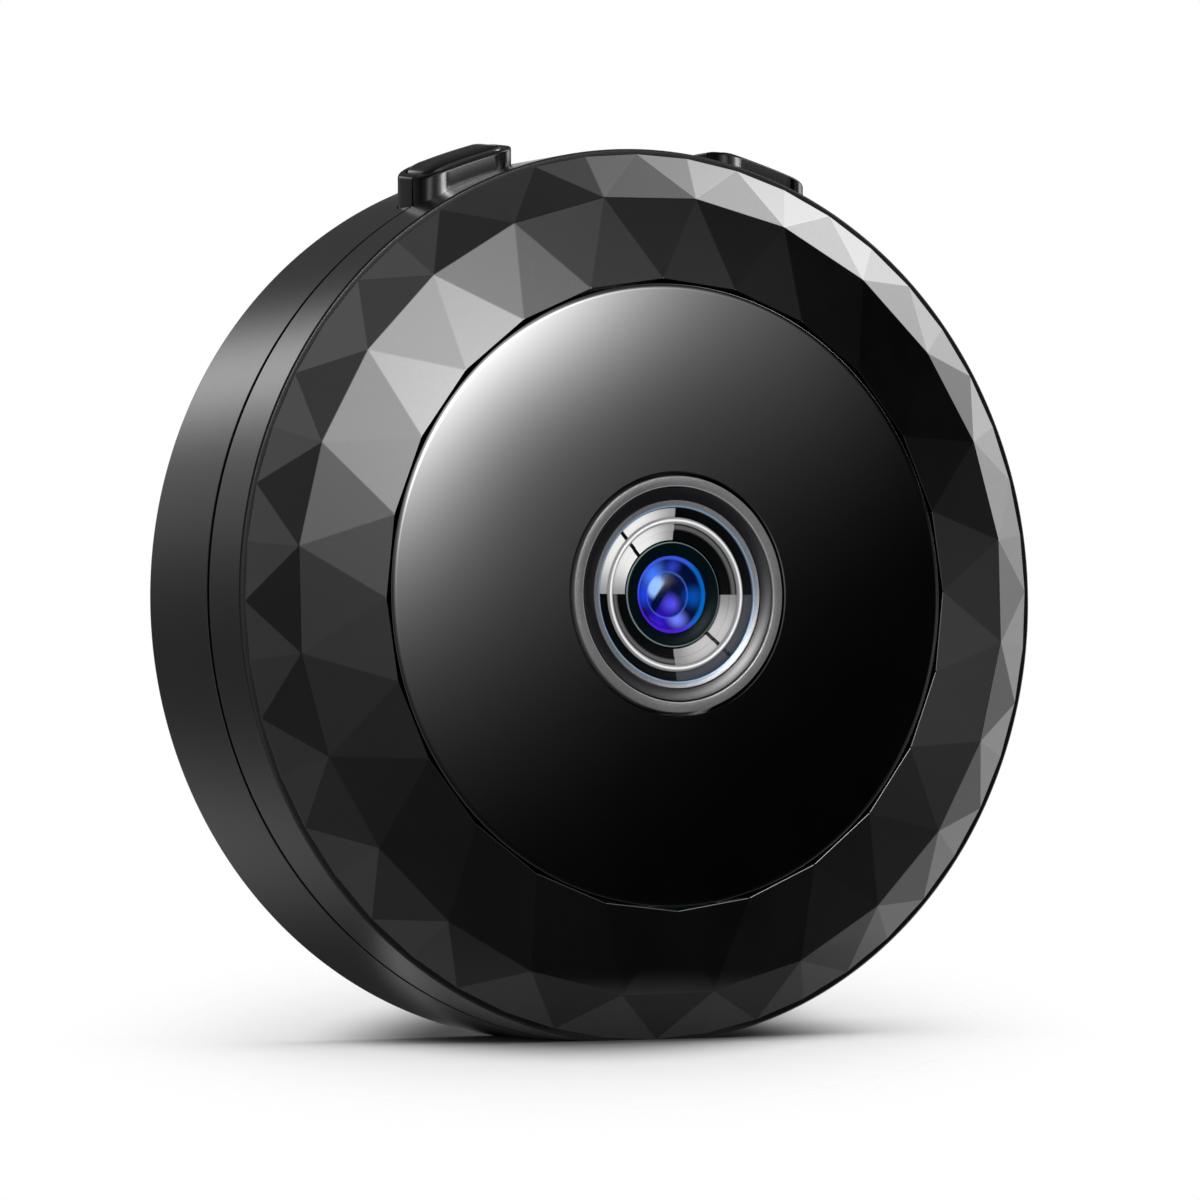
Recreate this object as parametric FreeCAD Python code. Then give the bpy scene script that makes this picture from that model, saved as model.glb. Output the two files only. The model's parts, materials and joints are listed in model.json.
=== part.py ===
import FreeCAD
import Part

import math
import os

# Mini security camera: a coin-shaped camera that stands on its rim.
# All sizes are millimetres. The camera looks along -Y, +X is to the right of the lens
# seen from the front, and +Z is up. The sizes below are counted from the barrel's axis
# and from the parting plane (y = 0); every finished piece is then lifted so that the
# standing flat lies at z = 0. The origin is the middle of the footprint.

# Barrel
BARREL_RADIUS = 22.5
BARREL_WALL = 1.2
FRONT_DEPTH = 3.7  # parting plane to the front rim
REAR_DEPTH = 7.15  # parting plane to the flat back
RIM_CHAMFER = 0.2
BACK_EDGE_RADIUS = 0.35
PARTING_GROOVE_WIDTH = 0.3
PARTING_GROOVE_DEPTH = 0.25
STANDING_FLAT_DEPTH = 0.25  # how much is ground off the underside of the barrel
LIP_WALL = 0.9  # lip of the front ring that locates the rear housing
LIP_DEPTH = 1.0
LIP_GAP = 0.05
SHELF_INSET = 7.3  # barrel's outside to the shelf's inner edge
SHELF_THICKNESS = 0.8
SHELF_FRONT_DEPTH = 2.9  # parting plane to the shelf's front face

# Faceted bezel: three rings of corners, as the distance in from the barrel's outside and
# the depth in front of the rim
FACET_COUNT = 24
FACET_TURN = 1.0  # degrees by which the ring of facets is turned against the buttons
BEZEL_RIM_WIDTH = 0.25
BEZEL_MIDDLE_INSET = 2.42
BEZEL_MIDDLE_RISE = 1.37
BEZEL_INNER_INSET = 6.71
BEZEL_INNER_RISE = 2.58
BEZEL_SPIGOT_WALL = 1.3
BEZEL_SPIGOT_GAP = 0.1
BEZEL_SKIN_RISE = 0.6  # from the rim to the hollow's ceiling
WINDOW_LEDGE = 1.15  # width of the ledge that carries the window
LEDGE_WALL = 0.35  # ledge wall outside the window's opening

# Window
WINDOW_GAP = 0.1
WINDOW_EDGE_THICKNESS = 0.9
WINDOW_DOME = 0.94
WINDOW_HOLE_GAP = 0.14
ADHESIVE_THICKNESS = 0.12

# Lens trim, from the outside in: each ring's outer radius
TRIM_RADIUS = 5.93
TRIM_FACE_WIDTH = 0.58
TRIM_FLANGE_RADIUS = 7.3
TRIM_FLANGE_THICKNESS = 0.65
TRIM_FRONT_DEPTH = 7.15  # parting plane to the front of the trim ring
RING_FIT = 0.03
CONE_FACE_WIDTH = 0.64
CONE_SINK = 0.04
CONE_DROP = 0.14
CONE_LEDGE = 0.7
CONE_FLOOR = 0.6
LIP_RING_WIDTH = 0.31
LIP_RING_DROP = 0.13
DIAL_THICKNESS = 0.62
DIAL_DROP = 0.28
DIAL_STEP_RADIUS = 3.17
DIAL_STEP = 0.05
BEAD_RADIUS = 3.69
BEAD_WIRE_RADIUS = 0.17
BEAD_SINK = 0.04

# Lens barrel and glass
BARREL_NOSE_RADIUS = 2.64
BARREL_NOSE_GAP = 0.08
NOSE_SINK = 0.02  # barrel nose below the dial's inner edge
NOSE_CHAMFER = 0.08
NOSE_DISH = 0.12
LENS_THREAD_RADIUS = 3.48
LENS_THREAD_FIT = 0.02
SHOULDER_GAP = 0.1
GLASS_RADIUS = 1.93
GLASS_FIT = 0.02
GLASS_DOME = 0.42
GLASS_EDGE = 0.68
GLASS_HOLLOW = 0.5
SPACER_THICKNESS = 0.4
SPACER_HOLE_RADIUS = 1.3
SECOND_LENS_EDGE = 1.0
SECOND_LENS_DOME = 0.2
STOP_THICKNESS = 0.2
REAR_GLASS_RADIUS = 2.38
THIRD_LENS_EDGE = 0.95
THIRD_LENS_HOLLOW = 0.25
REAR_SPACER_HOLE_RADIUS = 1.7
REAR_LENS_EDGE = 0.9
REAR_LENS_DOME = 0.25
RETAINER_THICKNESS = 0.45
BARREL_TAIL = 0.15  # barrel's end past the retaining ring

# Lens holder and image sensor
HOLDER_TOWER_RADIUS = 4.3
HOLDER_TOWER_LENGTH = 2.5
HOLDER_FLANGE_RADIUS = 6.5
HOLDER_FLANGE_THICKNESS = 0.6
HOLDER_BODY = 9.4
HOLDER_BODY_GAP = 0.2
HOLDER_BODY_LENGTH = 1.8
HOLDER_POCKET = 7.2
FILTER_SIZE = 5.2
FILTER_THICKNESS = 0.3
FILTER_WINDOW = 4.4
FILTER_WEB = 0.3
BARREL_END_GAP = 0.1
SENSOR_SIZE = 6.0
SENSOR_THICKNESS = 0.65
CAMERA_BOARD_SIZE = 9.2
CAMERA_BOARD_THICKNESS = 0.5
RIBBON_WIDTH = 6.0
RIBBON_THICKNESS = 0.12
RIBBON_LENGTH = 3.2
RIBBON_FIT = 0.02
RIBBON_SOCKET_SIZE = (2.2, 1.25, 6.9)  # along x, off the board, along z
RIBBON_SOCKET_GRIP = 0.8

# Boards
BOARD_EDGE_GAP = 0.9  # from the locating lip to the main board
LAYOUT_RADIUS = 19.5  # board radius that the layout on the main board is drawn for
MAIN_BOARD_THICKNESS = 1.0
MAIN_BOARD_REAR = -0.5  # y of the face that carries the parts
LED_BOARD_BEARING = 0.8  # how far the shelf carries the board's edge
LED_BOARD_THICKNESS = 0.8
LED_BOARD_HOLE_RADIUS = 6.0
IR_LED_COUNT = 6
IR_LED_FIRST_ANGLE = 30.0
IR_LED_SIZE = 2.8
IR_LED_HEIGHT = 1.1
IR_LED_DOME_RADIUS = 1.05
STATUS_LED_SIZE = (1.6, 0.7, 0.8)
STATUS_LED_PITCH = 2.4
LIGHT_SENSOR_SIZE = (2.0, 0.9, 1.25)
LIGHT_SENSOR_ANGLE = 60.0
SHIELD_WALL = 0.7
SHIELD_GAP = 0.15
LINK_INSET = 3.0  # from the edge of the LED board
LINK_PIN_COUNT = 6
LINK_PITCH = 1.0
LINK_PIN_WIDTH = 0.4
LINK_BODY_WIDTH = 1.2
LINK_TAIL = 0.3

# Parts on the main board, as drawn for LAYOUT_RADIUS:
# (x from, z from, x size, height off the board, z size)
PROCESSOR_BOX = (-12.8, -13.8, 8.6, 1.0, 8.4)
FLASH_BOX = (-3.0, 6.4, 5.0, 1.4, 4.0)
WIFI_BOX = (-15.0, 4.9, 9.0, 1.7, 6.8)
ANTENNA_BOX = (-18.4, -2.6, 2.0, 1.1, 5.2)
CRYSTAL_BOX = (-3.4, -8.4, 3.0, 0.8, 2.2)
POWER_CHIP_BOX = (6.2, 5.2, 3.0, 1.1, 1.8)
CAPACITOR_SIZE = (1.6, 0.8, 0.8)
CAPACITOR_PLACES = (
    (-4.8, 7.2), (-4.8, 9.2), (2.9, 7.2), (2.9, 9.2), (6.2, 8.8),
    (8.6, 8.8), (10.4, 5.8), (-11.2, -4.6), (-8.6, -4.6), (0.7, -6.4),
)
CHIP_CHAMFER = 0.12

# Case screws
SCREW_ANGLES = (90.0, 201.5, -21.5)
SCREW_INSET = 2.1  # from the edge of the main board
SCREW_RADIUS = 0.8
SCREW_HEAD_RADIUS = 1.35
SCREW_HEAD_HEIGHT = 0.8
SCREW_SLOT_WIDTH = 0.35
SCREW_SLOT_DEPTH = 0.35
SCREW_CLEARANCE = 0.1
SCREW_THREAD_FIT = 0.02
SCREW_TIP_GAP = 0.3
COLUMN_RADIUS = 2.1
BOSS_RADIUS = 1.6
BOSS_NOSE_RADIUS = 1.15
BOSS_NOSE_LENGTH = 1.0

# Back of the camera
PAD_DISC_INSET = 3.3  # barrel's outside to the pad
PAD_DISC_THICKNESS = 0.5
PAD_DISC_GAP = 0.1
SCREW_SEAT_DEPTH = 1.2  # from the pad's recess to the seat of a screw head
MAGNET_RADIUS = 7.0
MAGNET_THICKNESS = 1.0
MAGNET_GAP = 0.05
MAGNET_RIM_WALL = 0.75
MAGNET_RIM_HEIGHT = 0.6

# Battery
BATTERY_WIDTH = 26.0
BATTERY_HEIGHT = 20.4
BATTERY_THICKNESS = 3.2
BATTERY_EDGE_RADIUS = 0.8
BATTERY_BACK_GAP = 1.05
FOAM_WIDTH = 3.5
FOAM_LENGTH = 16.0
FOAM_OFFSET = 10.5
LEAD_RADIUS = 0.3
LEAD_SPACING = 1.4
LEAD_BEND_RADIUS = 0.7
LEAD_RUN = 1.7  # from the battery's edge to its connector
LEAD_EXIT = 0.9  # from the battery's front face to the leads
BATTERY_SOCKET_SIZE = (4.2, 1.7, 2.8)

# Buttons on top: a raised collar, parted with the shells, and a cap let into it
BUTTON_OFFSET = 8.4
BUTTON_CENTRE_Y = 0.8
COLLAR_LENGTH = 5.9
COLLAR_WIDTH = 4.2
COLLAR_HEIGHT = 1.1
COLLAR_END_WALL = 0.75
COLLAR_SIDE_WALL = 0.5
COLLAR_EDGE_RADIUS = 0.2
COLLAR_SEAM = 0.12
COLLAR_REACH = 5.15  # barrel's outside down to the collar's lower end
CAP_GAP = 0.08
CAP_PROUD = 0.2
CAP_EDGE_RADIUS = 0.4
CAP_FLANGE_SIDE = 0.4
CAP_FLANGE_THICKNESS = 0.6
CAP_REST_GAP = 0.1
BUTTON_TRAVEL = 0.3
SWITCH_SIZE = (3.8, 2.6, 3.3)
SWITCH_GAP = 0.75  # from the switch's top to the flange of the cap
PLUNGER_RADIUS = 0.6
PLUNGER_FIT = 0.05
PLUNGER_ENGAGED = 0.9
BOARD_NOTCH_GAP = 0.35

# Reset button, reached through a pin hole in the rear housing
RESET_ANGLE = 42.0
RESET_INSET = 1.7  # from the edge of the main board
RESET_SIZE = (2.0, 2.8, 3.0)
RESET_Y = 1.5
RESET_PLUNGER_RADIUS = 0.45
RESET_PLUNGER_LENGTH = 1.6
RESET_PLUNGER_PROUD = 0.8
RESET_TRAVEL = 0.25
RESET_HOLE_RADIUS = 0.55

# Microphone
MIC_ANGLE = 24.0
MIC_INSET = 2.3  # from the edge of the main board
MIC_SIZE = (2.4, 1.1, 3.2)
MIC_HOLE_RADIUS = 0.5
MIC_HOLE_Y = 1.7

# Charging socket, at the right of the barrel
USB_LENGTH = 5.3
USB_WIDTH = 7.5
USB_HEIGHT = 2.5
USB_WALL = 0.25
USB_MOUTH_SINK = 1.0  # mouth below the barrel's outside
USB_BASE_LENGTH = 1.1
USB_TONGUE_WIDTH = 5.4
USB_TONGUE_THICKNESS = 0.65
USB_TONGUE_SINK = 0.6
USB_CORNER_RADIUS = 0.6
PORT_GAP = 0.2

# Memory card socket, at the lower right of the barrel
CARD_ANGLE = -55.0
CARD_SOCKET_START = 7.5
CARD_SOCKET_LENGTH = 11.1
CARD_SOCKET_WIDTH = 13.8
CARD_SOCKET_HEIGHT = 1.45
CARD_SHEET = 0.2
CARD_BASE_THICKNESS = 0.35
CARD_STOP_LENGTH = 1.0
CARD_SLOT_WIDTH = 11.6

# Heights and planes that follow from the sizes above
AXIS_HEIGHT = BARREL_RADIUS - STANDING_FLAT_DEPTH
INNER_RADIUS = BARREL_RADIUS - BARREL_WALL
LIP_INNER_RADIUS = INNER_RADIUS - LIP_WALL
SHELF_INNER_RADIUS = BARREL_RADIUS - SHELF_INSET
LED_BOARD_RADIUS = SHELF_INNER_RADIUS + LED_BOARD_BEARING
MAIN_BOARD_RADIUS = LIP_INNER_RADIUS - BOARD_EDGE_GAP
BOARD_SHARE = MAIN_BOARD_RADIUS / LAYOUT_RADIUS
SCREW_CIRCLE_RADIUS = MAIN_BOARD_RADIUS - SCREW_INSET
RESET_RADIUS = MAIN_BOARD_RADIUS - RESET_INSET
MIC_RADIUS = MAIN_BOARD_RADIUS - MIC_INSET
PAD_DISC_RADIUS = BARREL_RADIUS - PAD_DISC_INSET
USB_MOUTH_RADIUS = BARREL_RADIUS - USB_MOUTH_SINK
BEZEL_RADIUS = BARREL_RADIUS - BEZEL_RIM_WIDTH
BEZEL_MIDDLE_RADIUS = BARREL_RADIUS - BEZEL_MIDDLE_INSET
BEZEL_INNER_RADIUS = BARREL_RADIUS - BEZEL_INNER_INSET
RIM_Y = -FRONT_DEPTH
BACK_Y = REAR_DEPTH
BACK_WALL_Y = BACK_Y - BARREL_WALL
RECESS_Y = BACK_Y - PAD_DISC_THICKNESS
SCREW_SEAT_Y = RECESS_Y - SCREW_SEAT_DEPTH
SHELF_FRONT_Y = -SHELF_FRONT_DEPTH
SHELF_REAR_Y = SHELF_FRONT_Y + SHELF_THICKNESS
MAIN_BOARD_FRONT = MAIN_BOARD_REAR - MAIN_BOARD_THICKNESS
LED_BOARD_FRONT = SHELF_FRONT_Y - LED_BOARD_THICKNESS
WINDOW_EDGE_Y = RIM_Y - BEZEL_INNER_RISE
WINDOW_REAR_Y = WINDOW_EDGE_Y + WINDOW_EDGE_THICKNESS
WINDOW_SEAT_Y = WINDOW_REAR_Y + ADHESIVE_THICKNESS
WINDOW_OPENING_RADIUS = BEZEL_INNER_RADIUS * math.cos(math.pi / FACET_COUNT)
WINDOW_RADIUS = WINDOW_OPENING_RADIUS - WINDOW_GAP
LEDGE_INNER_RADIUS = WINDOW_RADIUS - WINDOW_LEDGE
SHIELD_INNER_RADIUS = TRIM_FLANGE_RADIUS + SHIELD_GAP
SHIELD_RADIUS = SHIELD_INNER_RADIUS + SHIELD_WALL
LED_CIRCLE_RADIUS = (SHIELD_RADIUS + LEDGE_INNER_RADIUS) / 2
LINK_X = LINK_INSET - LED_BOARD_RADIUS
TRIM_FRONT_Y = -TRIM_FRONT_DEPTH
TRIM_BORE_RADIUS = TRIM_RADIUS - TRIM_FACE_WIDTH
CONE_RADIUS = TRIM_BORE_RADIUS - RING_FIT
CONE_BORE_RADIUS = CONE_RADIUS - CONE_FACE_WIDTH
CONE_FRONT_Y = TRIM_FRONT_Y + CONE_SINK
LIP_RING_RADIUS = CONE_BORE_RADIUS - RING_FIT
LIP_RING_BORE_RADIUS = LIP_RING_RADIUS - LIP_RING_WIDTH
LIP_RING_FRONT_Y = CONE_FRONT_Y + CONE_DROP
DIAL_RADIUS = LIP_RING_BORE_RADIUS - RING_FIT
DIAL_FRONT_Y = LIP_RING_FRONT_Y + LIP_RING_DROP
DIAL_REAR_Y = DIAL_FRONT_Y + DIAL_THICKNESS
DIAL_HOLE_RADIUS = BARREL_NOSE_RADIUS + BARREL_NOSE_GAP
NOSE_FRONT_Y = DIAL_FRONT_Y + DIAL_DROP + NOSE_SINK
SHOULDER_Y = DIAL_REAR_Y + SHOULDER_GAP
GLASS_EDGE_Y = NOSE_FRONT_Y + NOSE_DISH
GLASS_REAR_Y = GLASS_EDGE_Y + GLASS_EDGE
SECOND_LENS_Y = GLASS_REAR_Y + SPACER_THICKNESS
STOP_Y = SECOND_LENS_Y + SECOND_LENS_EDGE
THIRD_LENS_Y = STOP_Y + STOP_THICKNESS
REAR_SPACER_Y = THIRD_LENS_Y + THIRD_LENS_EDGE
REAR_LENS_Y = REAR_SPACER_Y + SPACER_THICKNESS
RETAINER_Y = REAR_LENS_Y + REAR_LENS_EDGE
BARREL_END_Y = RETAINER_Y + RETAINER_THICKNESS + BARREL_TAIL
FILTER_WEB_Y = BARREL_END_Y + BARREL_END_GAP
FILTER_Y = FILTER_WEB_Y + FILTER_WEB
HOLDER_REAR_Y = MAIN_BOARD_FRONT + HOLDER_BODY_LENGTH
SENSOR_Y = HOLDER_REAR_Y - SENSOR_THICKNESS
CAMERA_BOARD_REAR_Y = HOLDER_REAR_Y + CAMERA_BOARD_THICKNESS
RIBBON_Y = (HOLDER_REAR_Y + CAMERA_BOARD_REAR_Y) / 2
RIBBON_END_X = -CAMERA_BOARD_SIZE / 2 - RIBBON_LENGTH
BUTTON_X = BUTTON_OFFSET * BOARD_SHARE
COLLAR_TOP_RADIUS = BARREL_RADIUS + COLLAR_HEIGHT
COLLAR_BOTTOM_Z = BARREL_RADIUS - COLLAR_REACH
CAP_LENGTH = COLLAR_LENGTH - 2 * COLLAR_END_WALL
CAP_WIDTH = COLLAR_WIDTH - 2 * COLLAR_SIDE_WALL
CAP_FLANGE_TOP_Z = COLLAR_BOTTOM_Z - CAP_REST_GAP
CAP_FLANGE_BOTTOM_Z = CAP_FLANGE_TOP_Z - CAP_FLANGE_THICKNESS
SWITCH_TOP_Z = CAP_FLANGE_BOTTOM_Z - SWITCH_GAP
NOTCH_Z = CAP_FLANGE_BOTTOM_Z - BUTTON_TRAVEL - BOARD_NOTCH_GAP
BATTERY_REAR_Y = BACK_WALL_Y - BATTERY_BACK_GAP
BATTERY_FRONT_Y = BATTERY_REAR_Y - BATTERY_THICKNESS
USB_HALF_WIDTH = USB_WIDTH / 2 * BOARD_SHARE
CARD_START = CARD_SOCKET_START * BOARD_SHARE
CARD_END = (CARD_SOCKET_START + CARD_SOCKET_LENGTH) * BOARD_SHARE
CARD_HALF_WIDTH = CARD_SOCKET_WIDTH / 2 * BOARD_SHARE
FAR = 3 * BARREL_RADIUS  # reaches past the whole camera, for cuts


def vec(x, y, z):
    return FreeCAD.Vector(x, y, z)


ORIGIN = vec(0, 0, 0)
AXIS = vec(0, 1, 0)
UP = vec(0, 0, 1)


def disc(radius, y_from, y_to, x=0.0, z=0.0):
    """A cylinder along the camera's axis, or beside it at x, z."""
    return Part.makeCylinder(radius, y_to - y_from, vec(x, y_from, z), AXIS)


def tube(outer, inner, y_from, y_to):
    return disc(outer, y_from, y_to).cut(disc(inner, y_from, y_to))


def block(x_from, x_to, y_from, y_to, z_from, z_to):
    size = (x_to - x_from, y_to - y_from, z_to - z_from)
    return Part.makeBox(*size, vec(x_from, y_from, z_from))


def centred_block(size, centre):
    """A block of the given x, y and z sizes about its centre."""
    corner = [c - s / 2 for s, c in zip(size, centre)]
    return Part.makeBox(*size, vec(*corner))


def revolved(points):
    """A solid of revolution about the camera's axis, from (radius, y) points."""
    outline = [vec(r, y, 0) for r, y in points]
    face = Part.Face(Part.makePolygon(outline + outline[:1]))
    return face.revolve(ORIGIN, AXIS, 360)


def sphere_sag(radius, height):
    """Radius of the sphere whose cap has this radius and height."""
    return (radius ** 2 + height ** 2) / (2 * height)


def dome_edge(radius, edge_y, apex_y):
    """Half of a lens face: from its edge in to the axis, as an arc of a sphere."""
    height = apex_y - edge_y
    ball = sphere_sag(radius, abs(height))
    half = radius / 2
    depth = math.sqrt(ball ** 2 - half ** 2) - math.sqrt(ball ** 2 - radius ** 2)
    middle_y = edge_y + math.copysign(depth, height)
    middle = vec(half, middle_y, 0)
    return Part.Arc(vec(radius, edge_y, 0), middle, vec(0, apex_y, 0)).toShape()


def line_edge(start, end):
    return Part.makeLine(vec(*start, 0), vec(*end, 0))


def spun(edges):
    """A solid of revolution from a closed loop of edges in the half plane z = 0."""
    return Part.Face(Part.Wire(Part.__sortEdges__(edges))).revolve(ORIGIN, AXIS, 360)


def turned(shape, angle):
    """Turn a shape about the camera's axis, from +X towards +Z."""
    return shape.rotated(ORIGIN, AXIS, -angle)


def polar(radius, angle):
    """The x and z of a point at this radius and angle, from +X towards +Z."""
    turn = math.radians(angle)
    return radius * math.cos(turn), radius * math.sin(turn)


def stadium(length, width, z_from, z_to, x=0.0, y=0.0):
    """An upright prism with half-round ends, long along x."""
    radius = width / 2
    reach = length / 2 - radius
    middle = centred_block((2 * reach, width, z_to - z_from), (x, y, (z_from + z_to) / 2))
    ends = [
        Part.makeCylinder(radius, z_to - z_from, vec(x + side * reach, y, z_from), UP)
        for side in (-1, 1)
    ]
    return middle.multiFuse(ends).removeSplitter()


def on_board(box, chamfer=0.0):
    """A flat part on the rear face of the main board."""
    height = box[3]
    x, z, width, depth = (box[k] * BOARD_SHARE for k in (0, 1, 2, 4))
    part = block(x, x + width, MAIN_BOARD_REAR, MAIN_BOARD_REAR + height, z, z + depth)
    if chamfer:
        top = [e for e in part.Edges if e.BoundBox.YMin > MAIN_BOARD_REAR + height - 0.001]
        part = part.makeChamfer(chamfer, top)
    return part


def fuse_all(first, others):
    return first.multiFuse(list(others)).removeSplitter()


def cut_all(first, others):
    for other in others:
        first = first.cut(other)
    return first


def upper_edges(shape, least_z):
    """Edges that lie wholly above a height."""
    return [edge for edge in shape.Edges if edge.BoundBox.ZMin > least_z]


# Cuts that the shells, the bezel and the boards share


def floor_cut():
    """Everything below the flat that the camera stands on."""
    return block(-FAR, FAR, -FAR, FAR, -FAR, -AXIS_HEIGHT)


def usb_opening():
    half = USB_HALF_WIDTH + PORT_GAP
    low = MAIN_BOARD_REAR - PORT_GAP
    high = MAIN_BOARD_REAR + USB_HEIGHT + PORT_GAP
    return block(MAIN_BOARD_RADIUS, FAR, low, high, -half, half)


def card_opening():
    half = CARD_SLOT_WIDTH / 2 * BOARD_SHARE
    low = MAIN_BOARD_REAR + CARD_BASE_THICKNESS
    high = MAIN_BOARD_REAR + CARD_SOCKET_HEIGHT
    return turned(block(CARD_END, FAR, low, high, -half, half), CARD_ANGLE)


def pin_hole(radius, y, angle):
    """A radial hole through the barrel's wall."""
    hole = Part.makeCylinder(radius, FAR, vec(MAIN_BOARD_RADIUS, y, 0), vec(1, 0, 0))
    return turned(hole, angle)


def parting_groove():
    half = PARTING_GROOVE_WIDTH / 2
    inner = BARREL_RADIUS - PARTING_GROOVE_DEPTH
    return tube(FAR, inner, -half, half)


# Button collars, caps and switches


def collar(side):
    """One raised collar with its shaft, before it is parted at y = 0."""
    body = collar_place(side).common(disc(COLLAR_TOP_RADIUS, -FAR, FAR))
    body = body.makeFillet(COLLAR_EDGE_RADIUS, upper_edges(body, COLLAR_BOTTOM_Z + 1))
    return body.cut(button_shaft(side))


def button_shaft(side):
    x = side * BUTTON_X
    return stadium(CAP_LENGTH, CAP_WIDTH, 0, FAR, x, BUTTON_CENTRE_Y)


def collar_place(side):
    """Room for a whole collar in the shells, so that each half fills its own side."""
    x = side * BUTTON_X
    return stadium(COLLAR_LENGTH, COLLAR_WIDTH, COLLAR_BOTTOM_Z, FAR, x, BUTTON_CENTRE_Y)


def flange_place(side):
    """Room for the flange of a cap, under the collar."""
    x = side * BUTTON_X
    spare = 2 * BOARD_NOTCH_GAP
    length = CAP_LENGTH + 2 * CAP_FLANGE_SIDE + spare
    width = CAP_WIDTH + 2 * CAP_FLANGE_SIDE + spare
    return stadium(length, width, NOTCH_Z, COLLAR_BOTTOM_Z, x, BUTTON_CENTRE_Y)


def button_cap(side):
    x = side * BUTTON_X
    length = CAP_LENGTH - 2 * CAP_GAP
    width = CAP_WIDTH - 2 * CAP_GAP
    cap = stadium(length, width, CAP_FLANGE_TOP_Z, FAR, x, BUTTON_CENTRE_Y)
    cap = cap.common(disc(COLLAR_TOP_RADIUS + CAP_PROUD, -FAR, FAR))
    cap = cap.makeFillet(CAP_EDGE_RADIUS, upper_edges(cap, CAP_FLANGE_TOP_Z + 1))
    flange = stadium(
        CAP_LENGTH + 2 * CAP_FLANGE_SIDE, CAP_WIDTH + 2 * CAP_FLANGE_SIDE,
        CAP_FLANGE_BOTTOM_Z, CAP_FLANGE_TOP_Z, x, BUTTON_CENTRE_Y,
    )
    return fuse_all(cap, [flange])


def switch_body(side):
    width, depth, height = SWITCH_SIZE
    x = side * BUTTON_X
    body = block(
        x - width / 2, x + width / 2, MAIN_BOARD_REAR, MAIN_BOARD_REAR + depth,
        SWITCH_TOP_Z - height, SWITCH_TOP_Z,
    )
    bore_bottom = SWITCH_TOP_Z - PLUNGER_ENGAGED - BUTTON_TRAVEL - CAP_REST_GAP
    bore = Part.makeCylinder(
        PLUNGER_RADIUS + PLUNGER_FIT, FAR, vec(x, BUTTON_CENTRE_Y, bore_bottom), UP
    )
    return body.cut(bore)


def switch_plunger(side):
    low = SWITCH_TOP_Z - PLUNGER_ENGAGED
    foot = vec(side * BUTTON_X, BUTTON_CENTRE_Y, low)
    return Part.makeCylinder(PLUNGER_RADIUS, CAP_FLANGE_BOTTOM_Z - low, foot, UP)


# Shells


def case_half(shape, y_side):
    """Add the collars' half on one side of the parting plane to a shell."""
    low, high = sorted((y_side * FAR, y_side * COLLAR_SEAM / 2))
    keep = block(-FAR, FAR, low, high, 0, FAR)
    for side in (-1, 1):
        shape = shape.cut(collar_place(side))
        shape = fuse_all(shape, [collar(side).common(keep)])
    return shape


def front_ring():
    ring = tube(BARREL_RADIUS, INNER_RADIUS, RIM_Y, 0)
    collar_wall = tube(BARREL_RADIUS, LIP_INNER_RADIUS, SHELF_REAR_Y, 0)
    lip = tube(INNER_RADIUS - LIP_GAP, LIP_INNER_RADIUS, SHELF_REAR_Y, LIP_DEPTH)
    shelf = tube(INNER_RADIUS, SHELF_INNER_RADIUS, SHELF_FRONT_Y, SHELF_REAR_Y)
    bosses = []
    for angle in SCREW_ANGLES:
        x, z = polar(SCREW_CIRCLE_RADIUS, angle)
        bosses.append(disc(BOSS_RADIUS, SHELF_FRONT_Y, MAIN_BOARD_FRONT, x, z))
        nose_y = SHELF_FRONT_Y - BOSS_NOSE_LENGTH
        bosses.append(disc(BOSS_NOSE_RADIUS, nose_y, SHELF_FRONT_Y, x, z))
    ring = fuse_all(ring, [collar_wall, lip, shelf, *bosses])
    corner = revolved([
        (BARREL_RADIUS - RIM_CHAMFER, RIM_Y), (BARREL_RADIUS + RIM_CHAMFER, RIM_Y),
        (BARREL_RADIUS + RIM_CHAMFER, RIM_Y + 2 * RIM_CHAMFER),
    ])
    cuts = [corner, parting_groove(), floor_cut(), usb_opening(), card_opening()]
    for angle in SCREW_ANGLES:
        x, z = polar(SCREW_CIRCLE_RADIUS, angle)
        thread = SCREW_RADIUS + SCREW_THREAD_FIT
        cuts.append(disc(thread, screw_tip_y() - SCREW_TIP_GAP, LIP_DEPTH, x, z))
    cuts += [flange_place(side) for side in (-1, 1)]
    return case_half(cut_all(ring, cuts), -1)


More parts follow.
